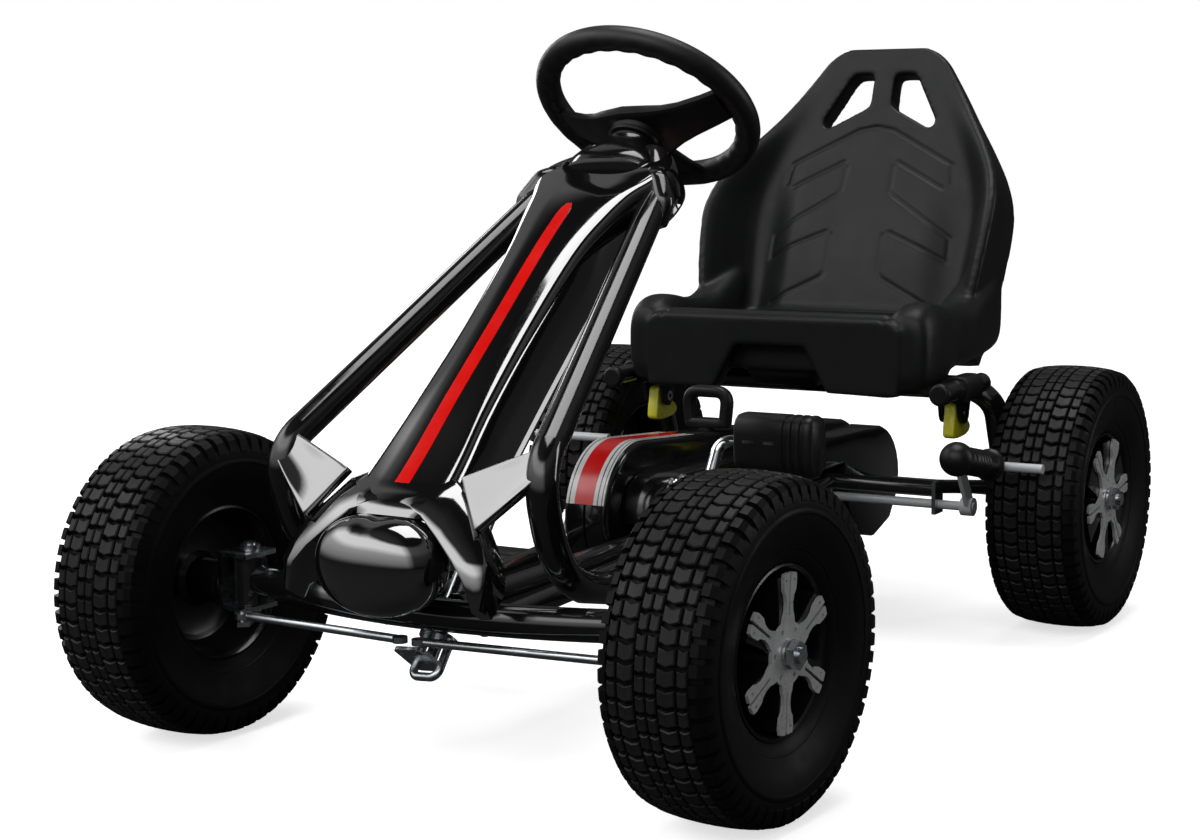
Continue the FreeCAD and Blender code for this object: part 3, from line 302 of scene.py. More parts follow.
def finish(name, color, rough, metallic=0.0, coat=0.0, grain=800.0, bump=0.05, vary=0.08,
           tint=None, tint_scale=12.0, wear=None, specular=0.5, coat_ior=1.5):
    """Moulded, painted or plated surface with uneven gloss, fine grain and a drifting tint."""
    material = bpy.data.materials.new(name)
    material.use_nodes = True
    tree = material.node_tree
    shader = tree.nodes["Principled BSDF"]
    for socket, value in (("Metallic", metallic), ("Coat Weight", coat),
                          ("Coat Roughness", COAT_ROUGHNESS), ("Coat IOR", coat_ior),
                          ("Specular IOR Level", specular)):
        shader.inputs[socket].default_value = value
    where = tree.nodes.new("ShaderNodeTexCoord").outputs["Object"]

    tint = tint or [c * 1.35 + 0.004 for c in color]
    base = mixed(tree, noise(tree, where, tint_scale, 6), color, tint)
    if wear:
        edges = tree.nodes.new("ShaderNodeNewGeometry")
        ramp = tree.nodes.new("ShaderNodeValToRGB")
        ramp.color_ramp.elements[0].position = WORN_FROM
        ramp.color_ramp.elements[1].position = WORN_TO
        link(tree, edges.outputs["Pointiness"], ramp.inputs["Fac"])
        scuffed = tree.nodes.new("ShaderNodeMath")
        scuffed.operation = "MULTIPLY"
        link(tree, ramp.outputs["Color"], scuffed.inputs[0])
        link(tree, noise(tree, where, SCUFF_SCALE, 8), scuffed.inputs[1])
        base = mixed(tree, scuffed.outputs[0], base, wear)
    link(tree, base, shader.inputs["Base Color"])

    gloss = tree.nodes.new("ShaderNodeMapRange")
    for socket, value in (("From Min", 0.3), ("From Max", 0.7), ("To Min", max(0.02, rough - vary)),
                          ("To Max", min(1.0, rough + vary))):
        gloss.inputs[socket].default_value = value
    link(tree, noise(tree, where, SMEAR_SCALE, 9, 0.65), gloss.inputs["Value"])
    link(tree, gloss.outputs["Result"], shader.inputs["Roughness"])

    relief = tree.nodes.new("ShaderNodeBump")
    relief.inputs["Strength"].default_value = bump
    relief.inputs["Distance"].default_value = GRAIN_DEPTH
    link(tree, noise(tree, where, grain, 3), relief.inputs["Height"])
    link(tree, relief.outputs["Normal"], shader.inputs["Normal"])
    return material


ENAMEL = finish("frame_enamel", (0.003, 0.003, 0.0035), 0.12, coat=0.5, grain=260, bump=0.03,
                wear=(0.02, 0.02, 0.022))
SHELL = finish("shell_gloss", (0.0025, 0.0025, 0.003), 0.08, coat=1.0, coat_ior=2.4, grain=420,
               bump=0.05, vary=0.04)
CASE = finish("case_gloss", (0.003, 0.003, 0.0035), 0.16, coat=0.5, grain=500, bump=0.05)
SEAT = finish("seat_moulded", (0.005, 0.0053, 0.0055), 0.40, grain=1500, bump=0.16, vary=0.06,
              specular=0.22, wear=(0.012, 0.012, 0.013))
TRIM = finish("trim_moulded", (0.004, 0.004, 0.0045), 0.36, grain=1200, bump=0.12,
              specular=0.26, wear=(0.015, 0.015, 0.015))
GRIP = finish("grip_foam", (0.005, 0.005, 0.0055), 0.42, grain=900, bump=0.22, specular=0.4)
TYRE = finish("tyre_sidewall", (0.0025, 0.0025, 0.0025), 0.46, grain=900, bump=0.2, vary=0.1,
              specular=0.12, tint=(0.004, 0.004, 0.004), tint_scale=60)
TREAD = finish("tyre_tread", (0.004, 0.004, 0.004), 0.40, grain=1100, bump=0.3, vary=0.12,
               specular=0.20, tint=(0.008, 0.008, 0.008), tint_scale=90, wear=(0.02, 0.02, 0.02))
RIM = finish("rim_moulded", (0.0025, 0.0025, 0.003), 0.22, grain=900, bump=0.08, specular=0.4)
SILVER = finish("spider_paint", (0.50, 0.51, 0.50), 0.30, metallic=0.35, grain=1400, bump=0.08,
                tint=(0.50, 0.51, 0.52), wear=(0.75, 0.75, 0.76))
ZINC = finish("zinc_plate", (0.42, 0.47, 0.52), 0.24, metallic=1.0, grain=300, bump=0.08, vary=0.12,
              tint=(0.58, 0.60, 0.58), tint_scale=30)
CHROME = finish("chrome_plate", (0.70, 0.71, 0.73), 0.08, metallic=1.0, grain=500, bump=0.02,
                vary=0.04)
BAR = finish("bar_enamel", (0.38, 0.39, 0.40), 0.30, coat=0.4, grain=300, bump=0.05,
             wear=(0.6, 0.6, 0.6))
STEEL = finish("oiled_steel", (0.16, 0.16, 0.17), 0.35, metallic=1.0, grain=400, bump=0.1)
GREEN = finish("lever_moulded", (0.82, 0.78, 0.006), 0.26, coat=0.3, grain=700, bump=0.06,
               tint=(0.90, 0.86, 0.015), wear=(0.95, 0.92, 0.2))
RED = finish("decal_red", (0.62, 0.003, 0.002), 0.20, coat=0.3, grain=600, bump=0.04,
             tint=(0.82, 0.008, 0.005))
WHITE = finish("decal_white", (0.72, 0.73, 0.73), 0.25, coat=0.5, grain=600, bump=0.04,
               tint=(0.80, 0.80, 0.80))
LINE = finish("decal_black", (0.01, 0.01, 0.012), 0.25, coat=0.5, grain=600, bump=0.04)

# CAD nodes that keep their own shape and get a finish
CAD_FINISH = {
    ENAMEL: ("front_beam", "main_tube", "side_tubes", "frame_tube_left", "frame_tube_right",
             "cross_tubes", "rear_stays", "rear_arch", "axle_bearings",
             "seat_rails", "crank_shell"),
    ZINC: ("knuckle_left", "knuckle_right", "tie_rod_left", "tie_rod_right", "column_bracket",
           "brake_plates", "kingpins", "hub_nut_left", "hub_nut_right", "hub_nuts_rear",
           "rear_axle", "steering_column"),
    CHROME: ("crank_rod",),
    BAR: ("brake_shaft",),
    STEEL: ("chain", "chainring", "rear_sprocket"),
    TRIM: ("head_bush", "rail_caps", "seat_brackets"),
}
for material, names in CAD_FINISH.items():
    for name in names:
        cad = NODES[name].data
        cad.materials.clear()
        cad.materials.append(material)

# ------------------------------------------------------------------ wheels

WHEEL_R = 130
HALF_TRACK = 260
KINGPIN_X, FRONT_AXLE_Y = 200, -380
REST_STEER = 4.5
WHEEL_PHASE = {"front": -3.4, "rear": 38.0}
HUB_OUT = 36
ARMS = 6
TREAD_ROWS = 56
ROW_PITCH = 2 * math.pi / TREAD_ROWS
# How far the cross edges of a block this wide from middle to side sag
EDGE_SAG, SAG_HALF_WIDTH = 2.0, 6.75
# Columns of blocks: from and to across the tread, and the phase of the row
TREAD_COLUMNS = ((-33, -25.5, 0.0), (-23.5, -10, 0.0), (-8.3, -0.8, 0.5), (0.8, 8.3, 0.5),
                 (10, 23.5, 0.0), (25.5, 33, 0.0))


def crown(x):
    """Radius of the tread surface."""
    return WHEEL_R - 0.0009 * abs(x) ** 2.25


def tyre_carcass(bm):
    """Hollow casing with a rib and two fine rings on each sidewall."""
    outside = [(29, 64.8), (32.4, 65.6), (35.0, 68.4), (36.6, 73), (37.2, 75), (37.9, 75.6),
               (39.4, 80), (42.6, 88), (44.6, 96), (45.4, 101.4), (46.2, 102.2), (46.4, 104),
               (46.0, 105.4), (45.3, 106.4), (45.4, 111), (44.6, 115), (42.0, 119.0),
               (37, 121.6), (30, 122.6), (18, 123.4), (0, 123.8)]
    inside = [(0, 117), (30, 114), (37, 104), (37, 92), (30, 76), (24, 66)]
    profile = outside + [(-x, r) for x, r in reversed(outside[:-1])]
    profile += [(-x, r) for x, r in reversed(inside)] + inside[1:]
    lathe(bm, profile, 112)


def wedge(bm, section, angle_from, angle_to):
    """Extrude an (x, radius) section round the axle between two angles."""
    ends = []
    for angle in (angle_from, angle_to):
        c, s = math.cos(angle), math.sin(angle)
        ends.append([bm.verts.new((x, r * s, r * c)) for x, r in section])
    skin(bm, ends)


def tread_block(bm, x_from, x_to, start, end):
    """Chamfered block standing on the crown, its two cross edges sagging the same way."""
    base, edge = 6.4, 0.9
    shrink = edge / WHEEL_R
    middle = (x_from + x_to) / 2
    half = (x_to - x_from) / 2
    sag = EDGE_SAG / WHEEL_R * half / SAG_HALF_WIDTH
    layers = []
    for drop, inset in ((base, 0.0), (edge, 0.0), (0.0, 1.0)):
        ring = []
        for across, angle, way in ((-1, start, 1), (0, start, 1), (1, start, 1), (1, end, -1),
                                   (0, end, -1), (-1, end, -1)):
            x = middle + across * (half - edge * inset)
            r = crown(x) - drop
            turn = angle + way * shrink * inset - (0 if across else sag)
            ring.append(bm.verts.new((x, r * math.sin(turn), r * math.cos(turn))))
        layers.append(ring)
    ring_faces(bm, layers)
    bm.faces.new(layers[-1])


def tread(bm):
    for row in range(TREAD_ROWS):
        for x_from, x_to, shift in TREAD_COLUMNS:
            start = (row + shift) * ROW_PITCH
            tread_block(bm, x_from, x_to, start + 0.12 * ROW_PITCH, start + 0.88 * ROW_PITCH)


def shoulder_lugs(bm):
    """Short bars over both shoulders, between the rows of blocks."""
    lug = [(34.4, 118), (34.4, 127.0), (40.2, 125.6), (44.0, 121.8), (45.4, 116.6),
           (45.8, 111.4), (45.0, 110.4), (42, 116)]
    for row in range(TREAD_ROWS):
        start = (row + 0.45) * ROW_PITCH
        for side in SIDES.values():
            wedge(bm, [(x * side, r) for x, r in lug], start + 0.18 * ROW_PITCH,
                  start + 0.82 * ROW_PITCH)


def rim_profile():
    """Dished disc with a well, a hub barrel inboard and a short boss outboard."""
    outer = [(31.4, 65.6), (33.2, 64.8), (33.6, 63.0), (32.2, 61.4), (29.0, 60.4), (24, 58.6),
             (13, 56.2), (9.4, 53.6), (8.2, 49.0), (8.0, 32), (10, 25.5), (20, 23.2), (31, 21.4),
             (34.6, 19.6), (35.7, 17.0), (35.8, 6.3)]
    inner = [(-39, 6.3), (-39, 15.2), (-37.2, 17.0), (-34, 17.6), (-33, 19.4), (-28, 19.8),
             (-26.6, 17.8), (-2, 19.0), (1.4, 24), (2.4, 46), (0, 52), (-8, 55.6), (-26, 59.6),
             (-30.4, 61.6), (-32.4, 63.2), (-31.4, 65.6)]
    return outer + inner


def rim_ribs(bm):
    """Six raised black spokes behind the silver trim."""
    section = [(-9.5, 14), (9.5, 14), (7.5, 30), (10.5, 56.5), (-10.5, 56.5), (-7.5, 30)]
    start, end = 6, HUB_OUT - 0.3
    for k in range(ARMS):
        turn = Matrix.Rotation(2 * math.pi * k / ARMS, 4, "X")
        plate(bm, section, end - start, turn @ side_on(start))


def turned(x, radius, degrees):
    """Point of the trim's plane that lies x beside the spoke at this angle."""
    angle = math.radians(degrees)
    return (x * math.cos(angle) + radius * math.sin(angle),
            radius * math.cos(angle) - x * math.sin(angle))


def spider_outline():
    """Silver trim: split fingers joined at the root, scalloped between the arms."""
    finger = [(6.6, 27.2), (4.9, 31), (4.3, 37), (5.6, 42.5), (8.4, 46.5), (9.2, 54.5),
              (8.2, 58.6), (2.0, 59.4), (1.3, 58.4), (1.1, 28.5)]
    scallop_radius = 23.6
    outline = []
    for k in range(ARMS):
        arm = 60 * k
        outline += [turned(0, scallop_radius, arm - 41 + 5.5 * i) for i in range(5)]
        outline += [turned(-x, r, arm) for x, r in finger]
        outline += [turned(x, r, arm) for x, r in reversed(finger)]
    return outline


def circle(centre, radius, count):
    return [(centre[0] + radius * math.cos(2 * math.pi * k / count),
             centre[1] + radius * math.sin(2 * math.pi * k / count)) for k in range(count)]


def spider_mesh(bm):
    """The trim as a plate with a hub hole, six bolt holes and a rivet in each finger."""
    holes = [circle((0, 0), 9.2, 24)]
    for k in range(ARMS):
        holes.append(circle(turned(0, 18.8, 60 * k + 30), 2.1, 10))
        holes += [circle(turned(5.8 * side, 53.5, 60 * k), 1.3, 8) for side in (-1, 1)]
    plate(bm, spider_outline(), 2.8, side_on(HUB_OUT + 0.05), holes)


def wheel_place(position, side):
    if position == "rear":
        return Matrix.Translation((HALF_TRACK * side, *AXLE))
    kingpin = Matrix.Translation((KINGPIN_X * side, FRONT_AXLE_Y, WHEEL_R))
    turn = Matrix.Rotation(math.radians(-REST_STEER), 4, "Z")
    return kingpin @ turn @ Matrix.Translation(((HALF_TRACK - KINGPIN_X) * side, 0, 0))


def wheel(name, body, place, side, phase):
    mirror = Matrix.Scale(side, 4, (1, 0, 0))
    bm = bmesh.new()
    tyre_carcass(bm)
    # The shoulder lugs are built before this count, so they take the darker sidewall rubber:
    # painted shade on the outer shoulders.
    shoulder_lugs(bm)
    sidewall_and_shaded_lug_faces = len(bm.faces)
    tread(bm)
    bm.faces.ensure_lookup_table()
    for face in bm.faces[sidewall_and_shaded_lug_faces:]:
        face.material_index = 1
    piece_from(bm, "tyre_%s_rubber" % name, [TYRE, TREAD], body,
               ("tyre_" + name,), place, 28)
    bm = bmesh.new()
    lathe(bm, rim_profile(), 96)
    rim_ribs(bm)
    piece_from(bm, "rim_%s_dish" % name, RIM, body, ("rim_" + name,),
               place @ mirror, 30)
    bm = bmesh.new()
    spider_mesh(bm)
    turn = Matrix.Rotation(math.radians(phase), 4, "X")
    piece_from(bm, "spider_%s_trim" % name, SILVER, body, ("spider_" + name,),
               place @ mirror @ turn, 30)


for position, phase in WHEEL_PHASE.items():
    for side_name, side_sign in SIDES.items():
        wheel_name = "%s_%s" % (position, side_name)
        carrier = "wheel_" + wheel_name if position == "front" else "rear_axle"
        wheel(wheel_name, carrier, wheel_place(position, side_sign), side_sign, phase)

# ------------------------------------------------------------------ steering wheel

RING_R = 93
COLUMN_TILT = math.radians(40)
COLUMN_TURN = math.radians(-8.2)
COLUMN = Matrix.Translation((0, -53.5, 520)) @ Matrix.Rotation(-COLUMN_TILT, 4, "X")
TURNED = COLUMN @ Matrix.Rotation(COLUMN_TURN, 4, "Z")


def rounded_section(centre, across, up, width, height, power=4.0, count=20):
    return ellipse(centre, across, up, width / 2, height / 2, count, power)


def grip_ring():
    """Ring of the wheel, with shallow finger swells underneath."""
    bm = bmesh.new()
    rings = []
    steps, sides = 144, 24
    for k in range(steps):
        angle = 2 * math.pi * k / steps
        ring = []
        for j in range(sides):
            roll = 2 * math.pi * j / sides
            swell = 0.5 * math.sin(angle * 30) * max(0.0, -math.sin(roll + 0.6))
            radial = RING_R + (11.0 + swell) * math.cos(roll)
            height = (11.2 + swell) * math.sin(roll)
            ring.append(bm.verts.new((radial * math.cos(angle), radial * math.sin(angle), height)))
        rings.append(ring)
    ring_faces(bm, rings, closed_rings=True)
    piece_from(bm, "steering_grip", GRIP, "steering", ("steering_rim",), TURNED, 60)


def steering_centre():
    """Dished blade of two wide spokes, the lower spoke, the boot below and the cap above."""
    bm = bmesh.new()
    # place along the spoke, width, thickness and height of its middle
    half = [(-84, 34, 9, -6), (-70, 36, 9, -12), (-50, 40, 9, -19), (-36, 46, 10, -23),
            (-24, 55, 12, -26), (0, 62, 13, -27)]
    blade = half + [(-x, w, t, z) for x, w, t, z in reversed(half[:-1])]
    loft(bm, [rounded_section((x, 0, z), (0, 1, 0), (0, 0, 1), w, t, 5.0)
              for x, w, t, z in blade])
    lower = ((20, 40, 12, -26), (40, 30, 10, -21), (62, 26, 9, -13), (84, 25, 9, -5))
    loft(bm, [rounded_section((0, y, z), (1, 0, 0), (0, 0, 1), w, t, 5.0)
              for y, w, t, z in lower])
    boot = [(-20, 8.2), (-20, 20), (-21.5, 28.5), (-27, 29), (-28, 27), (-31, 24.6), (-36, 22.6),
            (-38, 24.0), (-40.5, 23.6), (-41.5, 20), (-44.5, 18.5), (-44.5, 8.2)]
    cap = [(-21.5, 0.1), (-21.5, 22), (-19.0, 21.4), (-17.4, 17), (-16.6, 8), (-16.4, 0.1)]
    upright = Matrix.Rotation(math.radians(-90), 4, "Y")
    for profile in (boot, cap):
        lathe(bm, profile, 48, upright)
    piece_from(bm, "steering_centre", TRIM, "steering", ("steering_hub",), TURNED, 40)


grip_ring()
steering_centre()

# ------------------------------------------------------------------ seat

SEAT_LEAN = math.radians(19.5)
BACK = Matrix.Translation((0, 381, 292)) @ Matrix.Rotation(-SEAT_LEAN, 4, "X")
# Height up the back, half width, how far its edges stand forward, thickness of the flat part
BACK_ROWS = [(-38, 148, 46, 28), (0, 155, 54, 28), (40, 161, 60, 28), (96, 166, 60, 28),
             (128, 164, 52, 28), (158, 154, 40, 27), (190, 136, 24, 26), (222, 115, 10, 26),
             (252, 96, 2, 26), (276, 80, 0, 25), (290, 70, 0, 24), (300, 58, 0, 22),
             (306, 44, 0, 18)]


def chevron_paths():
    """Centre lines of the pressed panels on the backrest, in its own (x, height) plane."""
    shoulder = [(0, 216), (20, 212), (46, 198), (92, 173), (96, 152)]
    band = [(31, 176), (86, 146)]
    upper = [(27, 170), (28, 143), (33, 137), (101, 92), (102, 66), (36, 95)]
    lower = [(30, 92), (31, 50), (35, 44), (92, 15)]
    paths = (shoulder, band, upper, lower)
    return [[(x * side, h) for x, h in path] for path in paths for side in (1, -1)]


def distance_to(path, x, h):
    """Shortest distance from a point to a run of straight lines."""
    best = 1e9
    for (ax, ah), (bx, bh) in zip(path, path[1:]):
        run = (bx - ax, bh - ah)
        t = ((x - ax) * run[0] + (h - ah) * run[1]) / (run[0] ** 2 + run[1] ** 2)
        t = min(1.0, max(0.0, t))
        best = min(best, math.hypot(x - ax - run[0] * t, h - ah - run[1] * t))
    return best


def back_blank():
    """Closed shell of the backrest: flat middle, edges rolled forward."""
    bm = bmesh.new()
    columns = 48
    rings = []
    for h, half, roll, thick in blend_rows(BACK_ROWS, 4):
        ring = []
        for k in range(columns + 1):
            u = -1 + 2 * k / columns
            forward = roll * smooth_step(0.70, 0.97, abs(u)) ** 1.2
            forward -= 4 * smooth_step(0.97, 1.0, abs(u))
            ring.append(Vector((u * half, -forward, h)))
        for k in range(columns + 1):
            u = 1 - 2 * k / columns
            ring.append(Vector((u * half * 0.975, thick - 6 * smooth_step(0.9, 1, abs(u)), h)))
        rings.append([BACK @ p for p in ring])
    loft(bm, rings)
    return bm


def hole_cutter():
    """The two hand holes as solids that run through the back."""
    bm = bmesh.new()
    hole = [(12, 276), (36, 276), (66, 222), (60, 214), (12, 240)]
    for side in SIDES.values():
        corners = rounded_corners([(x * side, h) for x, h in hole], 7)
        plate(bm, corners, 90, BACK @ front_on(0) @ Matrix.Translation((0, 0, -30)))
    bm.transform(Matrix.Scale(MM, 4))
    bmesh.ops.recalc_face_normals(bm, faces=bm.faces)
    mesh = bpy.data.meshes.new("hole_cutter")
    bm.to_mesh(mesh)
    bm.free()
    return bpy.data.objects.new("hole_cutter", mesh)


def seat_base(bm):
    """Pan, front apron with its stepped notch, belly between the rails and rounded arms."""
    pan = [(206, 258), (400, 262), (410, 304), (262, 286), (236, 303), (218, 316), (206, 318)]
    plate(bm, pan, 276, side_on(-138))
    apron = [(-138, 240), (-126, 238), (-62, 240), (-38, 284), (38, 284), (62, 240), (126, 238),
             (138, 240), (138, 306), (126, 314), (-126, 314), (-138, 306)]
    plate(bm, apron, 22, front_on(187))
    # y, width or half width, underside, top
    belly = ((212, 46, 252, 292), (226, 44, 240, 290), (258, 42, 240, 288), (274, 40, 256, 288),
             (300, 40, 262, 288))
    loft(bm, [[(-w + 12, y, low), (w - 12, y, low), (w, y, low + 18), (w, y, high), (-w, y, high),
               (-w, y, low + 18)] for y, w, low, high in belly])
    arm = ((191, 20, 258, 306), (195, 38, 245, 317), (206, 46, 240, 325), (224, 49, 238, 329),
           (246, 48, 240, 327), (266, 46, 253, 323), (288, 46, 258, 321), (316, 45, 259, 322),
           (352, 44, 261, 336), (388, 40, 264, 352), (410, 34, 268, 352))
    for side in SIDES.values():
        loft(bm, [rounded_section((143 * side, y, (low + high) / 2), (1, 0, 0), (0, 0, 1), w,
                                  high - low, 3.0, 28) for y, w, low, high in blend_rows(arm, 3)])


def seat():
    """Back and base melted into one moulding, then smoothed and embossed."""
    piece = piece_from(back_blank(), "seat_bucket", SEAT, "seat", ("seat_shell",))
    cutter = hole_cutter()
    bpy.context.scene.collection.objects.link(cutter)
    cut = piece.modifiers.new("holes", "BOOLEAN")
    cut.object = cutter
    bake_modifiers(piece)
    bpy.data.objects.remove(cutter)
    bm = bmesh.new()
    seat_base(bm)
    bm.transform(Matrix.Scale(MM, 4))
    bm.from_mesh(piece.data)
    bmesh.ops.recalc_face_normals(bm, faces=bm.faces)
    bm.to_mesh(piece.data)
    bm.free()
    melt = piece.modifiers.new("melt", "REMESH")
    melt.mode = "VOXEL"
    melt.voxel_size = 2.4 * MM
    ease = piece.modifiers.new("ease", "SMOOTH")
    ease.factor = 0.5
    ease.iterations = 9
    bake_modifiers(piece)
    emboss(piece)


def emboss(piece):
    """Press the panel lines into the bulging front of the back and the seams into the arms."""
    to_back = BACK.inverted()
    back_turn = BACK.to_3x3()
    paths = chevron_paths()
    panel_half, line_depth, bulge_depth, seam_x, seam_depth = 112, 1.9, 15, 121, 1.8
    for vertex in piece.data.vertices:
        point = vertex.co / MM
        local = to_back @ point
        if local.y < 14 and local.z > 4 and abs(local.x) < panel_half:
            near = min(distance_to(path, local.x, local.z) for path in paths)
            if near < 8:
                push = line_depth * math.exp(-(near / 1.9) ** 2)
                vertex.co += (back_turn @ Vector((0, push, 0))) * MM
            bulge = bulge_depth * (1 - smooth_step(60, 225, local.z))
            bulge *= 1 - smooth_step(70, panel_half, abs(local.x))
            vertex.co += (back_turn @ Vector((0, -bulge, 0))) * MM
        if point.y < 300 and abs(point.x) > panel_half and point.z > 262:
            seam = abs(abs(point.x) - seam_x)
            vertex.co.z -= seam_depth * math.exp(-(seam / 2.4) ** 2) * MM
    piece.data.polygons.foreach_set("use_smooth", [True] * len(piece.data.polygons))
    piece.data.update()


seat()


LEVER_PIN = (262, 218)


def seat_fittings():
    """Sliding block on each rail, two ears with a pin, and the hooked lever between them."""
    rail_x, rail_z = 180, 244
    ear = [(LEVER_PIN[0] + 10.5 * math.cos(a), LEVER_PIN[1] + 10.5 * math.sin(a))
           for a in [math.radians(180 + 15 * k) for k in range(13)]]
    ear += [(276, 230), (275, 240), (246, 240), (249, 228)]
    ear_thick = 5
    hanger = [(150, 236), (171, 236), (171, 252), (150, 252)]
    hook = [(251, 227), (258, 229.5), (265, 228), (269, 222), (269.5, 214), (273, 210.5),
            (281, 211), (288, 207.3), (293, 202), (290, 196.6), (280, 193.4), (262, 192.4),
            (250, 193.4), (246.2, 197), (247.5, 208), (250, 216)]
    hook_x, hook_thick = 166, 12.2
    for name, side in SIDES.items():
        bm = bmesh.new()
        loft(bm, [ellipse((rail_x * side, y, rail_z), (1, 0, 0), (0, 0, 1), r, r, 28, 3.0)
                  for y, r in ((232.5, 11.5), (234, 13.2), (270, 13.2), (271.5, 11.5))])
        for x in (153.5, 173.5):
            bevelled_plate(bm, ear, ear_thick, 1.0, side_on(x if side > 0 else -x - ear_thick))
        back = axis_matrix((0, 236, 0), (side, 0, 0), (0, 0, 1), (0, 1, 0))
        bevelled_plate(bm, hanger, 34, 1.2, back)
        replaced = ("seat_brackets",) if side > 0 else ()
        piece_from(bm, "seat_slider_" + name, TRIM, "seat", replaced)
        bm = bmesh.new()
        for x_from, x_to, r in ((152.4, 153.6, 5.2), (152.4, 179.6, 2.4), (178.4, 179.6, 5.2)):
            pin = [(x_from * side, 0.1), (x_from * side, r), (x_to * side, r), (x_to * side, 0.1)]
            lathe(bm, pin, 20, Matrix.Translation((0, *LEVER_PIN)))
        piece_from(bm, "seat_pin_" + name, ZINC, "seat")
        bm = bmesh.new()
        bevelled_plate(bm, rounded_corners(hook, 3, 3), hook_thick, 2.2,
                       side_on(hook_x * side - hook_thick / 2))
        piece_from(bm, "lock_hook_" + name, GREEN, "lock_lever_" + name,
                   ("lock_lever_" + name,))


seat_fittings()

# ------------------------------------------------------------------ nose shell

# y and z of the crown line, half width, side depth and slope in degrees
SHELL_ROWS = [(-80, 486, 33, 22, 20), (-92, 482, 46, 28, 21), (-112, 476, 58, 34, 22),
              (-134, 468.5, 62.5, 38, 26), (-152, 460, 59, 42, 31), (-174, 449, 50, 46, 36),
              (-200, 432.5, 43.5, 50, 38), (-240, 403, 36, 56, 39),
              (-309, 347, 33.5, 60, 39), (-371, 297, 36, 60, 40), (-412, 262, 40, 56, 42),
              (-440, 240, 42, 50, 46), (-452, 233, 40, 40, 50), (-461, 227, 35, 30, 58),
              (-466, 220, 30, 22, 70)]
SHELL_PATH = blend_rows(SHELL_ROWS)


def shell_frame(row):
    y, z, half, depth, slope = row
    lean = math.radians(slope)
    return Vector((0, y, z)), Vector((0, -math.sin(lean), math.cos(lean))), half, depth


def shell_section(row):
    """Inverted U of 3 mm wall: crowned top, tight shoulders, deep sides with a turned-out lip."""
    centre, out, half, depth = shell_frame(row)
    outer = [(half + 4.2, -depth), (half + 4.2, -depth + 2.4), (half + 0.6, -depth + 3.2),
             (half + 0.8, -depth * 0.6), (half + 0.4, -10), (half - 0.8, -4.2), (half - 4.0, -1.0),
             (half - 8.5, 0.4), (half * 0.45, 1.3), (0, 1.6)]
    inner = [(0, -2.4), (half * 0.45, -2.6), (half - 8.0, -3.4), (half - 4.6, -6.0),
             (half - 3.4, -11), (half - 2.4, -depth * 0.6), (half - 2.4, -depth)]
    ring = outer + [(-x, w) for x, w in reversed(outer[:-1])]
    ring += [(-x, w) for x, w in reversed(inner)] + inner[1:]
    return [centre + Vector((x, 0, 0)) + out * w for x, w in ring]


def leg_section(outer, inner, side, depth):
    """Ring round a leg from its two front edges, the corners rounded over."""
    front = Vector((0.10 * side, -0.86, 0.50)).normalized()
    outer = Vector((outer[0] * side, outer[1], outer[2]))
    inner = Vector((inner[0] * side, inner[1], inner[2]))
    across = (inner - outer).normalized()
    return [outer - front * 3.0, outer + across * 0.9 - front * 0.9, outer + across * 3.0,
            outer.lerp(inner, 0.5) + front * 0.6, inner - across * 3.0,
            inner - across * 0.9 - front * 0.9, inner - front * 3.0, inner - front * depth,
            outer - front * depth]


def nose_shell():
    """Long hollow moulding, with a leg each side of the bulb."""
    bm = bmesh.new()
    loft(bm, [shell_section(row) for row in SHELL_PATH])
    # outer and inner front edge of a leg, and its depth
    rows = [((38, -428, 247), (-3, -449, 231), 20), ((52, -437, 241), (10, -461, 230), 28),
            ((70, -449, 222), (32, -466, 223), 34), ((83, -458, 206), (49, -471, 209), 36),
            ((92, -466, 191), (66, -477, 194), 36), ((94, -471, 180), (77, -480, 181), 34),
            ((93, -473, 168), (81, -480, 169), 28), ((91, -474, 157), (84, -478, 157), 20)]
    for side in SIDES.values():
        loft(bm, [leg_section(outer, inner, side, depth) for outer, inner, depth in rows])
    piece_from(bm, "nose_shell", SHELL, "chassis", ("fairing",), sharp=40)


def crown_stripe():
    """Painted stripe lying on the middle of the crown, round at the top."""
    bm = bmesh.new()
    rows = [row for row in SHELL_PATH if -441 < row[0] < -186]
    rings = []
    for k, row in enumerate(rows):
        centre, out = shell_frame(row)[:2]
        wide = 5.6 + 1.2 * k / len(rows)
        if k < 2:
            wide *= (0.45, 0.85)[k]
        rings.append([centre + Vector((x, 0, 0)) + out * w
                      for x, w in ((-wide, 1.3), (-wide, 1.9), (0, 2.1), (wide, 1.9), (wide, 1.3))])
    loft(bm, rings)
    piece_from(bm, "nose_stripe", RED, "chassis")


def signed_power(value, power):
    return math.copysign(abs(value) ** power, value)


def nose_bulb():
    """Full rounded bulb with a shallow valley down its brow."""
    bm = bmesh.new()
    rows, sides = 28, 40
    centre, reach = (0, -470, 183), (55, 36, 39)
    rings = []
    for i in range(1, rows):
        lat = -math.pi / 2 + math.pi * i / rows
        flat = abs(math.cos(lat)) ** 0.82
        high = signed_power(math.sin(lat), 0.92)
        taper = 1 - 0.10 * max(0.0, -high)
        ring = []
        for j in range(sides):
            lon = 2 * math.pi * j / sides
            x = reach[0] * flat * signed_power(math.cos(lon), 0.86)
            y = centre[1] + reach[1] * flat * signed_power(math.sin(lon), 0.86)
            valley = 2.6 * math.exp(-(x / 14) ** 2) * max(0.0, math.sin(lat)) ** 1.5
            ring.append(bm.verts.new((x * taper, y, centre[2] + reach[2] * high - valley)))
        rings.append(ring)
    skin(bm, rings)
    piece_from(bm, "nose_bulb_shell", SHELL, "chassis", ("nose_bulb",), sharp=60)


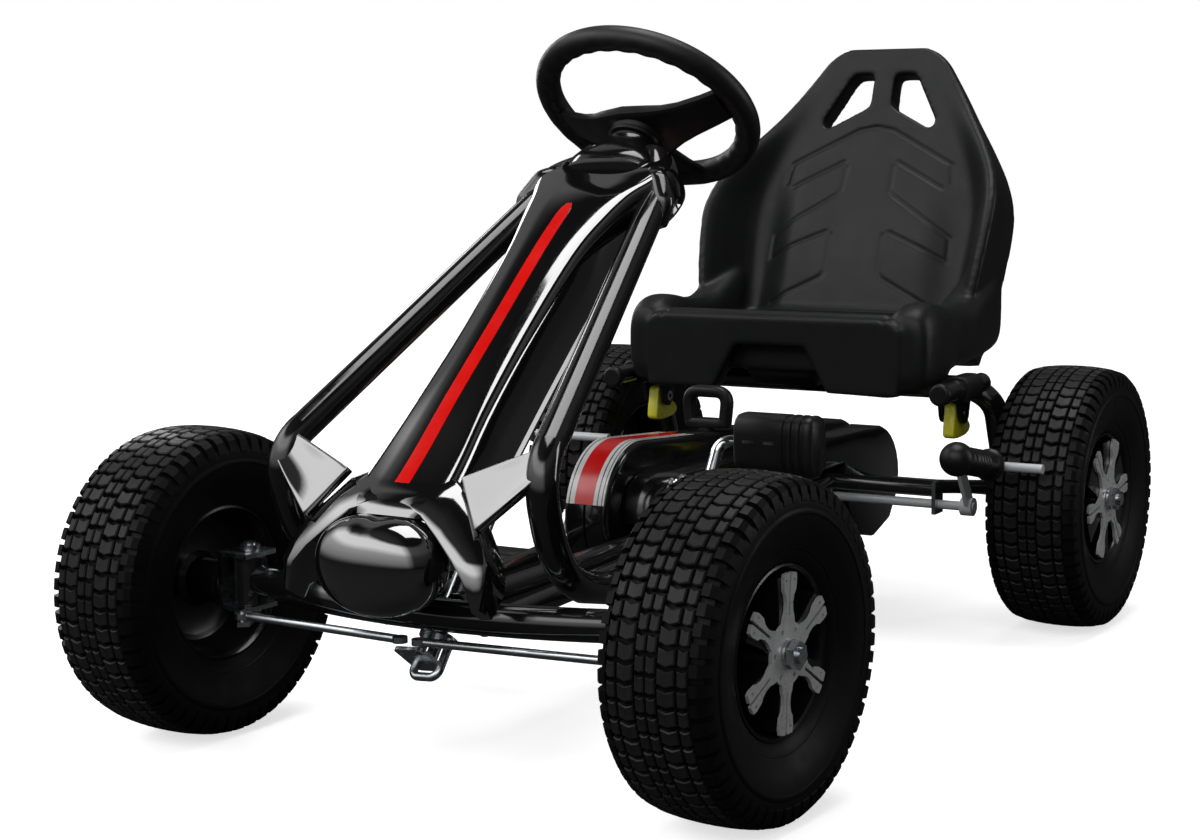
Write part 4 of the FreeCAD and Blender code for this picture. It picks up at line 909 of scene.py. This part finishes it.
def wing(name, side):
    """Four-cornered blade, dished a little, with rounded rims."""
    corners = [(52, -439, 249), (118, -427, 275), (125, -441, 257), (79, -463, 214)]
    corners = [Vector((x * side, y, z)) for x, y, z in corners]
    normal = (corners[1] - corners[0]).cross(corners[3] - corners[0]).normalized()
    if normal.y > 0:
        normal.negate()
    steps, thick, dished = 10, 9, 2.2
    bm = bmesh.new()
    layers = []
    for lift in (0, -thick):
        grid = []
        for i in range(steps + 1):
            u = i / steps
            top = corners[0].lerp(corners[1], u)
            low = corners[3].lerp(corners[2], u)
            row = []
            for j in range(steps + 1):
                v = j / steps
                dish = -dished * math.sin(math.pi * u) * math.sin(math.pi * v)
                row.append(bm.verts.new(top.lerp(low, v) + normal * (lift + dish)))
            grid.append(row)
        layers.append(grid)
    for index, grid in enumerate(layers):
        for i in range(steps):
            for j in range(steps):
                quad = (grid[i][j], grid[i + 1][j], grid[i + 1][j + 1], grid[i][j + 1])
                bm.faces.new(quad if index else tuple(reversed(quad)))
    front, back = layers
    rim = [(i, 0) for i in range(steps)] + [(steps, j) for j in range(steps)]
    rim += [(i, steps) for i in range(steps, 0, -1)] + [(0, j) for j in range(steps, 0, -1)]
    for (i, j), (m, n) in zip(rim, rim[1:] + rim[:1]):
        bm.faces.new((front[i][j], front[m][n], back[m][n], back[i][j]))
    bmesh.ops.recalc_face_normals(bm, faces=bm.faces)
    limit = math.radians(50)
    edges = [e for e in bm.edges if len(e.link_faces) == 2 and e.calc_face_angle(0) > limit]
    bmesh.ops.bevel(bm, geom=edges, offset=1.6, segments=3, profile=0.5, affect="EDGES",
                    clamp_overlap=True)
    piece_from(bm, "wing_%s_blade" % name, SHELL, "chassis", ("wing_" + name,))


def neck():
    """Small cone from the boot down to the shell, and a hook over each frame tube."""
    bm = bmesh.new()
    # height on the column's axis, the two radii, and how far the ring moves rearward
    stations = [(-45, 23, 22, 1), (-50, 24, 23, 1), (-57, 29, 25, 0), (-66, 37, 27, -3),
                (-76, 42, 28, -7), (-86, 43, 27, -10)]
    loft(bm, [ellipse((0, shift, z), (1, 0, 0), (0, 1, 0), rx, ry, 40, 2.5)
              for z, rx, ry, shift in blend_rows(stations, 3)])
    piece_from(bm, "neck_cone", CASE, "chassis", ("head_plate",), COLUMN, 60)
    for name, side in SIDES.items():
        bm = bmesh.new()
        path = bent_path([(40 * side, -122, 464), (58 * side, -138, 458), (69 * side, -150, 440),
                          (67 * side, -156, 418)], 10, 5)
        sweep(bm, path, [10.5 - 3.2 * (k / len(path)) ** 2 for k in range(len(path))])
        piece = piece_from(bm, "neck_hook_" + name, CASE, "chassis", sharp=50)
        smoother = piece.modifiers.new("smooth", "SUBSURF")
        smoother.levels = smoother.render_levels = 1


nose_shell()
crown_stripe()
nose_bulb()
for side_name, side_sign in SIDES.items():
    wing(side_name, side_sign)
neck()

# ------------------------------------------------------------------ drive case, pedals, handles


BELT_RUN = math.hypot(AXLE[0] - CRANK[0], AXLE[1] - CRANK[1])
BELT_HEADING = math.atan2(AXLE[1] - CRANK[1], AXLE[0] - CRANK[0])
NOSE_R, TAIL_R = 64, 62


def belt_outline(front_radius, rear_radius, steps=22):
    """(y, z) outline of a loop round the pedal axis and the rear axle."""
    lean = math.acos((front_radius - rear_radius) / BELT_RUN)
    points = []
    for (cy, cz), radius, start, sweep_by in (
            (CRANK, front_radius, BELT_HEADING + lean, 2 * math.pi - 2 * lean),
            (AXLE, rear_radius, BELT_HEADING - lean, 2 * lean)):
        for k in range(steps + 1):
            angle = start + sweep_by * k / steps
            points.append((cy + radius * math.cos(angle), cz + radius * math.sin(angle)))
    return points


def belt_top(y):
    """Height of the case's upper edge above a point behind its nose."""
    lean = BELT_HEADING + math.acos((NOSE_R - TAIL_R) / BELT_RUN)
    foot = (CRANK[0] + NOSE_R * math.cos(lean), CRANK[1] + NOSE_R * math.sin(lean))
    return foot[1] + (y - foot[0]) * math.tan(lean - math.pi / 2)


def case_half(name, stations):
    bm = bmesh.new()
    loft(bm, [[(x, y, z) for y, z in belt_outline(NOSE_R - inset, TAIL_R - inset)]
              for x, inset in stations])
    piece_from(bm, "case_%s_moulding" % name, CASE, "chassis",
               ("chain_case_" + name,), sharp=40)


def case_decal():
    """Striped band laid round the nose of the case: red between white borders with thin lines."""
    lift, thick = 0.35, 0.3
    last_angle, tail_y = 167, 20
    # from and to across the case, and the material
    bands = [(-33, -30.5, 1), (-30.5, -29.3, 2), (-29.3, -24.5, 1), (-24.5, -5.5, 0),
             (-5.5, -1.8, 1), (-1.8, -0.7, 2), (-0.7, 2.6, 1), (2.6, 3.5, 2), (3.5, 5.2, 1)]
    path = [(tail_y, belt_top(tail_y) + lift)]
    for y, z in belt_outline(NOSE_R + lift, TAIL_R + lift, 40):
        angle = math.degrees(math.atan2(z - CRANK[1], y - CRANK[0])) % 360
        if y < -60 and 60 < angle < last_angle:
            path.append((y, z))
    bm = bmesh.new()
    for x_from, x_to, material in bands:
        rings = []
        for y, z in path:
            away = Vector((0, y - CRANK[0], z - CRANK[1])).normalized() * thick
            rings.append([bm.verts.new(p) for p in (
                (x_from, y, z), (x_to, y, z), (x_to, y - away.y, z - away.z),
                (x_from, y - away.y, z - away.z))])
        first = len(bm.faces)
        skin(bm, rings)
        bm.faces.ensure_lookup_table()
        for face in bm.faces[first:]:
            face.material_index = material
    piece_from(bm, "case_decal", [RED, WHITE, LINE], "chassis", sharp=50)


def case_cover():
    """Deeper cover on the left: long tapering body, rear lobe, cone boss round the crank."""
    bm = bmesh.new()
    nose_r, lobe_r = 38, (64, 58)
    outline = []
    for k in range(9):
        angle = math.radians(90 + 12 * k)
        outline.append((CRANK[0] + nose_r * math.cos(angle), CRANK[1] + nose_r * math.sin(angle)))
    outline += [(-108, 151.5), (206, 151.5), (209, 158), (262, 158), (268, 112), (300, 80),
                (338, 71), (380, 84), (400, 110)]
    for k in range(7):
        angle = math.radians(12 * k)
        outline.append((AXLE[0] + lobe_r[0] * math.cos(angle),
                        AXLE[1] + lobe_r[1] * math.sin(angle)))
    outline.append((AXLE[0] - 30, AXLE[1] + lobe_r[1]))
    bevelled_plate(bm, outline, 41, 4.5, side_on(8.2))
    boss = [(44, 9), (44, 37), (50.4, 35.6), (52.0, 34.0), (57, 19), (58.4, 16.5), (58.4, 9)]
    at_crank = Matrix.Translation((0, *CRANK))
    lathe(bm, boss, 48, at_crank)
    piece_from(bm, "case_cover_moulding", CASE, "chassis", ("case_cover",), sharp=40)
    # Chrome ring round the boss's rounded rim: a painted highlight for the bright line along that
    # edge.
    bm = bmesh.new()
    lathe(bm, [(50.2, 36.9), (51.8, 36.4), (52.6, 35.4), (51.6, 34.2), (50.2, 34.4)], 60, at_crank)
    piece_from(bm, "case_boss_rim_highlight", CHROME, "chassis")


def pedal_piece(name, side):
    """Chunky ribbed block with two small reflectors let into each broad face."""
    low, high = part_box("pedal_" + name)
    place = Matrix.Translation((low + high) / 2 / MM)
    half_deep, half_high = 18, 27
    # place along the pedal's axis, and how far the section draws in there
    stations = [(-38, 3.0), (-36.4, 1.0), (-34, 0), (10, 0), (11, 1.2), (13.6, 1.2), (14.6, 0),
                (18, 0), (19, 1.2), (21.6, 1.2), (22.6, 0), (26, 0), (27, 1.2), (29.6, 1.2),
                (30.6, 0), (34, 0), (36.6, 1.4), (38.2, 4.0)]
    bm = bmesh.new()
    loft(bm, [ellipse((x * side, 0, 0), (0, 1, 0), (0, 0, 1), half_deep - inset,
                      half_high - inset, 32, 3.4) for x, inset in stations])
    piece_from(bm, "pedal_%s_block" % name, TRIM, "pedal_" + name,
               ("pedal_" + name,), place, 35)
    bm = bmesh.new()
    reflector = [(-5.5, -1.3), (5.5, -1.3), (5.5, 1.3), (-5.5, 1.3)]
    for face in (-1, 1):
        for x in (-22, -2):
            lift = axis_matrix((x * side, 17.7 * face, 3), (1, 0, 0), (0, 0, 1), (0, -face, 0))
            plate(bm, reflector, -0.9, lift)
    piece_from(bm, "pedal_%s_slots" % name, CHROME, "pedal_" + name, (), place)


def selector():
    """D handle: a rounded loop, its collar and the rod below."""
    bm = bmesh.new()
    x, y = -14, 85
    path = bent_path([(x - 18, y, 219), (x - 21.5, y, 250), (x + 21.5, y, 250), (x + 18, y, 219)],
                     12)
    across = Vector((0, 1, 0))
    sections = []
    for k, point in enumerate(path):
        ahead = (path[min(k + 1, len(path) - 1)] - path[max(k - 1, 0)]).normalized()
        sections.append(ellipse(point, across, ahead.cross(across), 6.6, 5.8, 20, 2.8))
    loft(bm, sections)
    loft(bm, [rounded_section((x, y, z), (1, 0, 0), (0, 1, 0), w, t, 3.5)
              for z, w, t in ((215.5, 44, 13), (217, 47, 15), (222, 47, 15), (224, 44, 12.6))])
    loft(bm, [ellipse((x, y, z), (1, 0, 0), (0, 1, 0), 5.9, 5.9, 20) for z in (187, 218)])
    piece_from(bm, "selector_grip", TRIM, "selector", ("selector_handle",), sharp=45)


def brake_grip():
    """Hand grip with a flange, five ribs and a ball end, along the brake lever."""
    low = Vector((231, 200, 178))
    along = Vector((-5, -84, 18)).normalized()
    across = along.orthogonal().normalized()
    lift = axis_matrix(low + along * 9, along, across, along.cross(across))
    bm = bmesh.new()
    profile = [(0, 5.1), (0, 14.6), (1, 15.6), (3.2, 15.6), (4.2, 14.6), (5.6, 13.2), (20, 12.6)]
    for k in range(5):
        start = 22 + 6 * k
        profile += [(start, 12.6), (start + 1, 13.3), (start + 4, 13.3), (start + 5, 12.6)]
    profile += [(56, 12.4), (61, 12.6)]
    for k in range(14):
        angle = math.radians(-46 + 136 * k / 13)
        profile.append((74.5 + 16.2 * math.sin(angle), 16.2 * math.cos(angle)))
    profile += [(78, 0.2), (78, 0.1), (60, 0.1), (60, 5.1)]
    lathe(bm, profile, 48)
    piece_from(bm, "brake_hand_grip", TRIM, "brake", ("brake_grip",), lift, 40)


case_half("right", [(-36, 6), (-35.3, 3), (-33.4, 0.9), (-31, 0), (-15.2, 0), (-14.4, 1.0)])
case_half("left", [(-13.6, 1.0), (-12.8, 0), (3, 0), (5.4, 0.9), (7.3, 3), (8, 6)])
case_decal()
case_cover()
for side_name, side_sign in SIDES.items():
    pedal_piece(side_name, side_sign)
selector()
brake_grip()

# ------------------------------------------------------------------ stage, lights and camera


def seen_or_lit(tree, lit, seen, surface):
    """Show the eye one shader and light the kart with another."""
    ray = tree.nodes.new("ShaderNodeLightPath")
    either = tree.nodes.new("ShaderNodeMixShader")
    link(tree, ray.outputs["Is Camera Ray"], either.inputs[0])
    link(tree, lit, either.inputs[1])
    link(tree, seen, either.inputs[2])
    link(tree, either.outputs["Shader"], surface)


def stage_floor():
    """White sweep under the kart; it shows white and keeps its own reflections dark."""
    wide, drop = 9000, -0.2
    bm = bmesh.new()
    bm.faces.new([bm.verts.new((x, y, drop)) for x, y in ((-wide, -wide), (wide, -wide),
                                                          (wide, wide), (-wide, wide))])
    bm.transform(Matrix.Scale(MM, 4))
    mesh = bpy.data.meshes.new("floor")
    bm.to_mesh(mesh)
    bm.free()
    paper = bpy.data.materials.new("floor_paper")
    paper.use_nodes = True
    tree = paper.node_tree
    shader = tree.nodes["Principled BSDF"]
    for socket, value in (("Base Color", (0.80, 0.80, 0.80, 1)), ("Roughness", 0.95),
                          ("Specular IOR Level", 0.0), ("Emission Color", (1, 1, 1, 1)),
                          ("Emission Strength", 0.66)):
        shader.inputs[socket].default_value = value
    dark = tree.nodes.new("ShaderNodeBsdfDiffuse")
    dark.inputs["Color"].default_value = (0.05, 0.05, 0.05, 1)
    seen_or_lit(tree, dark.outputs["BSDF"], shader.outputs["BSDF"],
                tree.nodes["Material Output"].inputs["Surface"])
    mesh.materials.append(paper)
    floor = bpy.data.objects.new("floor", mesh)
    bpy.context.scene.collection.objects.link(floor)


def area_light(name, place, target, wide, high, watts):
    lamp = bpy.data.lights.new(name, "AREA")
    lamp.shape = "RECTANGLE"
    lamp.size, lamp.size_y = wide, high
    lamp.energy = watts
    light = bpy.data.objects.new(name, lamp)
    light.location = place
    light.rotation_euler = (Vector(target) - Vector(place)).to_track_quat("-Z", "Y").to_euler()
    bpy.context.scene.collection.objects.link(light)


def sky_ramp(tree, value, stops):
    """Brightness along a value that runs from -1 to 1, with its stops from 0 to 1."""
    unit = tree.nodes.new("ShaderNodeMapRange")
    unit.inputs["From Min"].default_value = -1
    link(tree, value, unit.inputs["Value"])
    ramp = tree.nodes.new("ShaderNodeValToRGB")
    elements = ramp.color_ramp.elements
    while len(elements) < len(stops):
        elements.new(0.5)
    for element, (place, level) in zip(elements, stops):
        element.position = place
        element.color = (level, level, level, 1)
    link(tree, unit.outputs["Result"], ramp.inputs["Fac"])
    return ramp.outputs["Color"]


def studio():
    """White backdrop to the eye; light comes from a tall curved softbox round the front."""
    world = bpy.data.worlds.new("studio")
    bpy.context.scene.world = world
    bpy.context.scene.view_settings.view_transform = "Standard"
    world.use_nodes = True
    tree = world.node_tree
    direction = tree.nodes.new("ShaderNodeTexCoord").outputs["Generated"]
    parts = tree.nodes.new("ShaderNodeSeparateXYZ")
    link(tree, direction, parts.inputs["Vector"])
    tall = sky_ramp(tree, parts.outputs["Z"],
                    ((0.0, 0.01), (0.50, 0.03), (0.56, 0.22), (0.70, 0.42), (0.78, 1.0),
                     (0.865, 1.0), (0.90, 0.03), (1.0, 0.03)))
    heading = tree.nodes.new("ShaderNodeVectorMath")
    heading.operation = "DOT_PRODUCT"
    heading.inputs[1].default_value = (0.45, 0.89, 0)
    link(tree, direction, heading.inputs[0])
    round_front = sky_ramp(tree, heading.outputs["Value"],
                           ((0.0, 1.0), (0.27, 0.9), (0.42, 0.08), (1.0, 0.04)))
    box = tree.nodes["Background"]
    link(tree, mixed(tree, 1.0, tall, round_front, "MULTIPLY"), box.inputs["Color"])
    box.inputs["Strength"].default_value = 2.9
    seen = tree.nodes.new("ShaderNodeBackground")
    seen.inputs["Color"].default_value = (1, 1, 1, 1)
    seen_or_lit(tree, box.outputs["Background"], seen.outputs["Background"],
                tree.nodes["World Output"].inputs["Surface"])
    middle = (0, 0, 0.3)
    area_light("top_soft", (0.1, 0.3, 2.6), middle, 1.6, 1.6, 34)
    area_light("rim_right", (2.4, 1.6, 1.0), middle, 0.5, 1.7, 12)
    area_light("rim_left", (-2.4, 1.4, 1.1), middle, 0.5, 1.7, 12)


def camera():
    """Camera in front of the kart, a little to the driver's left and above."""
    azimuth, elevation, roll = (math.radians(a) for a in (30.867, 7.680, -0.820))
    back = Vector((math.sin(azimuth) * math.cos(elevation),
                   -math.cos(azimuth) * math.cos(elevation), math.sin(elevation)))
    right = (-back).cross(Vector((0, 0, 1))).normalized()
    up = right.cross(-back)
    across = right * math.cos(roll) + up * math.sin(roll)
    upward = up * math.cos(roll) - right * math.sin(roll)
    lens = bpy.data.cameras.new("view")
    lens.lens, lens.sensor_width = 68.45, 36
    lens.shift_x, lens.shift_y = 0.0125, -0.0056
    lens.clip_start, lens.clip_end = 0.05, 50
    view = bpy.data.objects.new("view", lens)
    view.matrix_world = axis_matrix((0.99725, -1.83739, 0.52282), across, upward, back)
    bpy.context.scene.collection.objects.link(view)
    bpy.context.scene.camera = view


stage_floor()
studio()
camera()
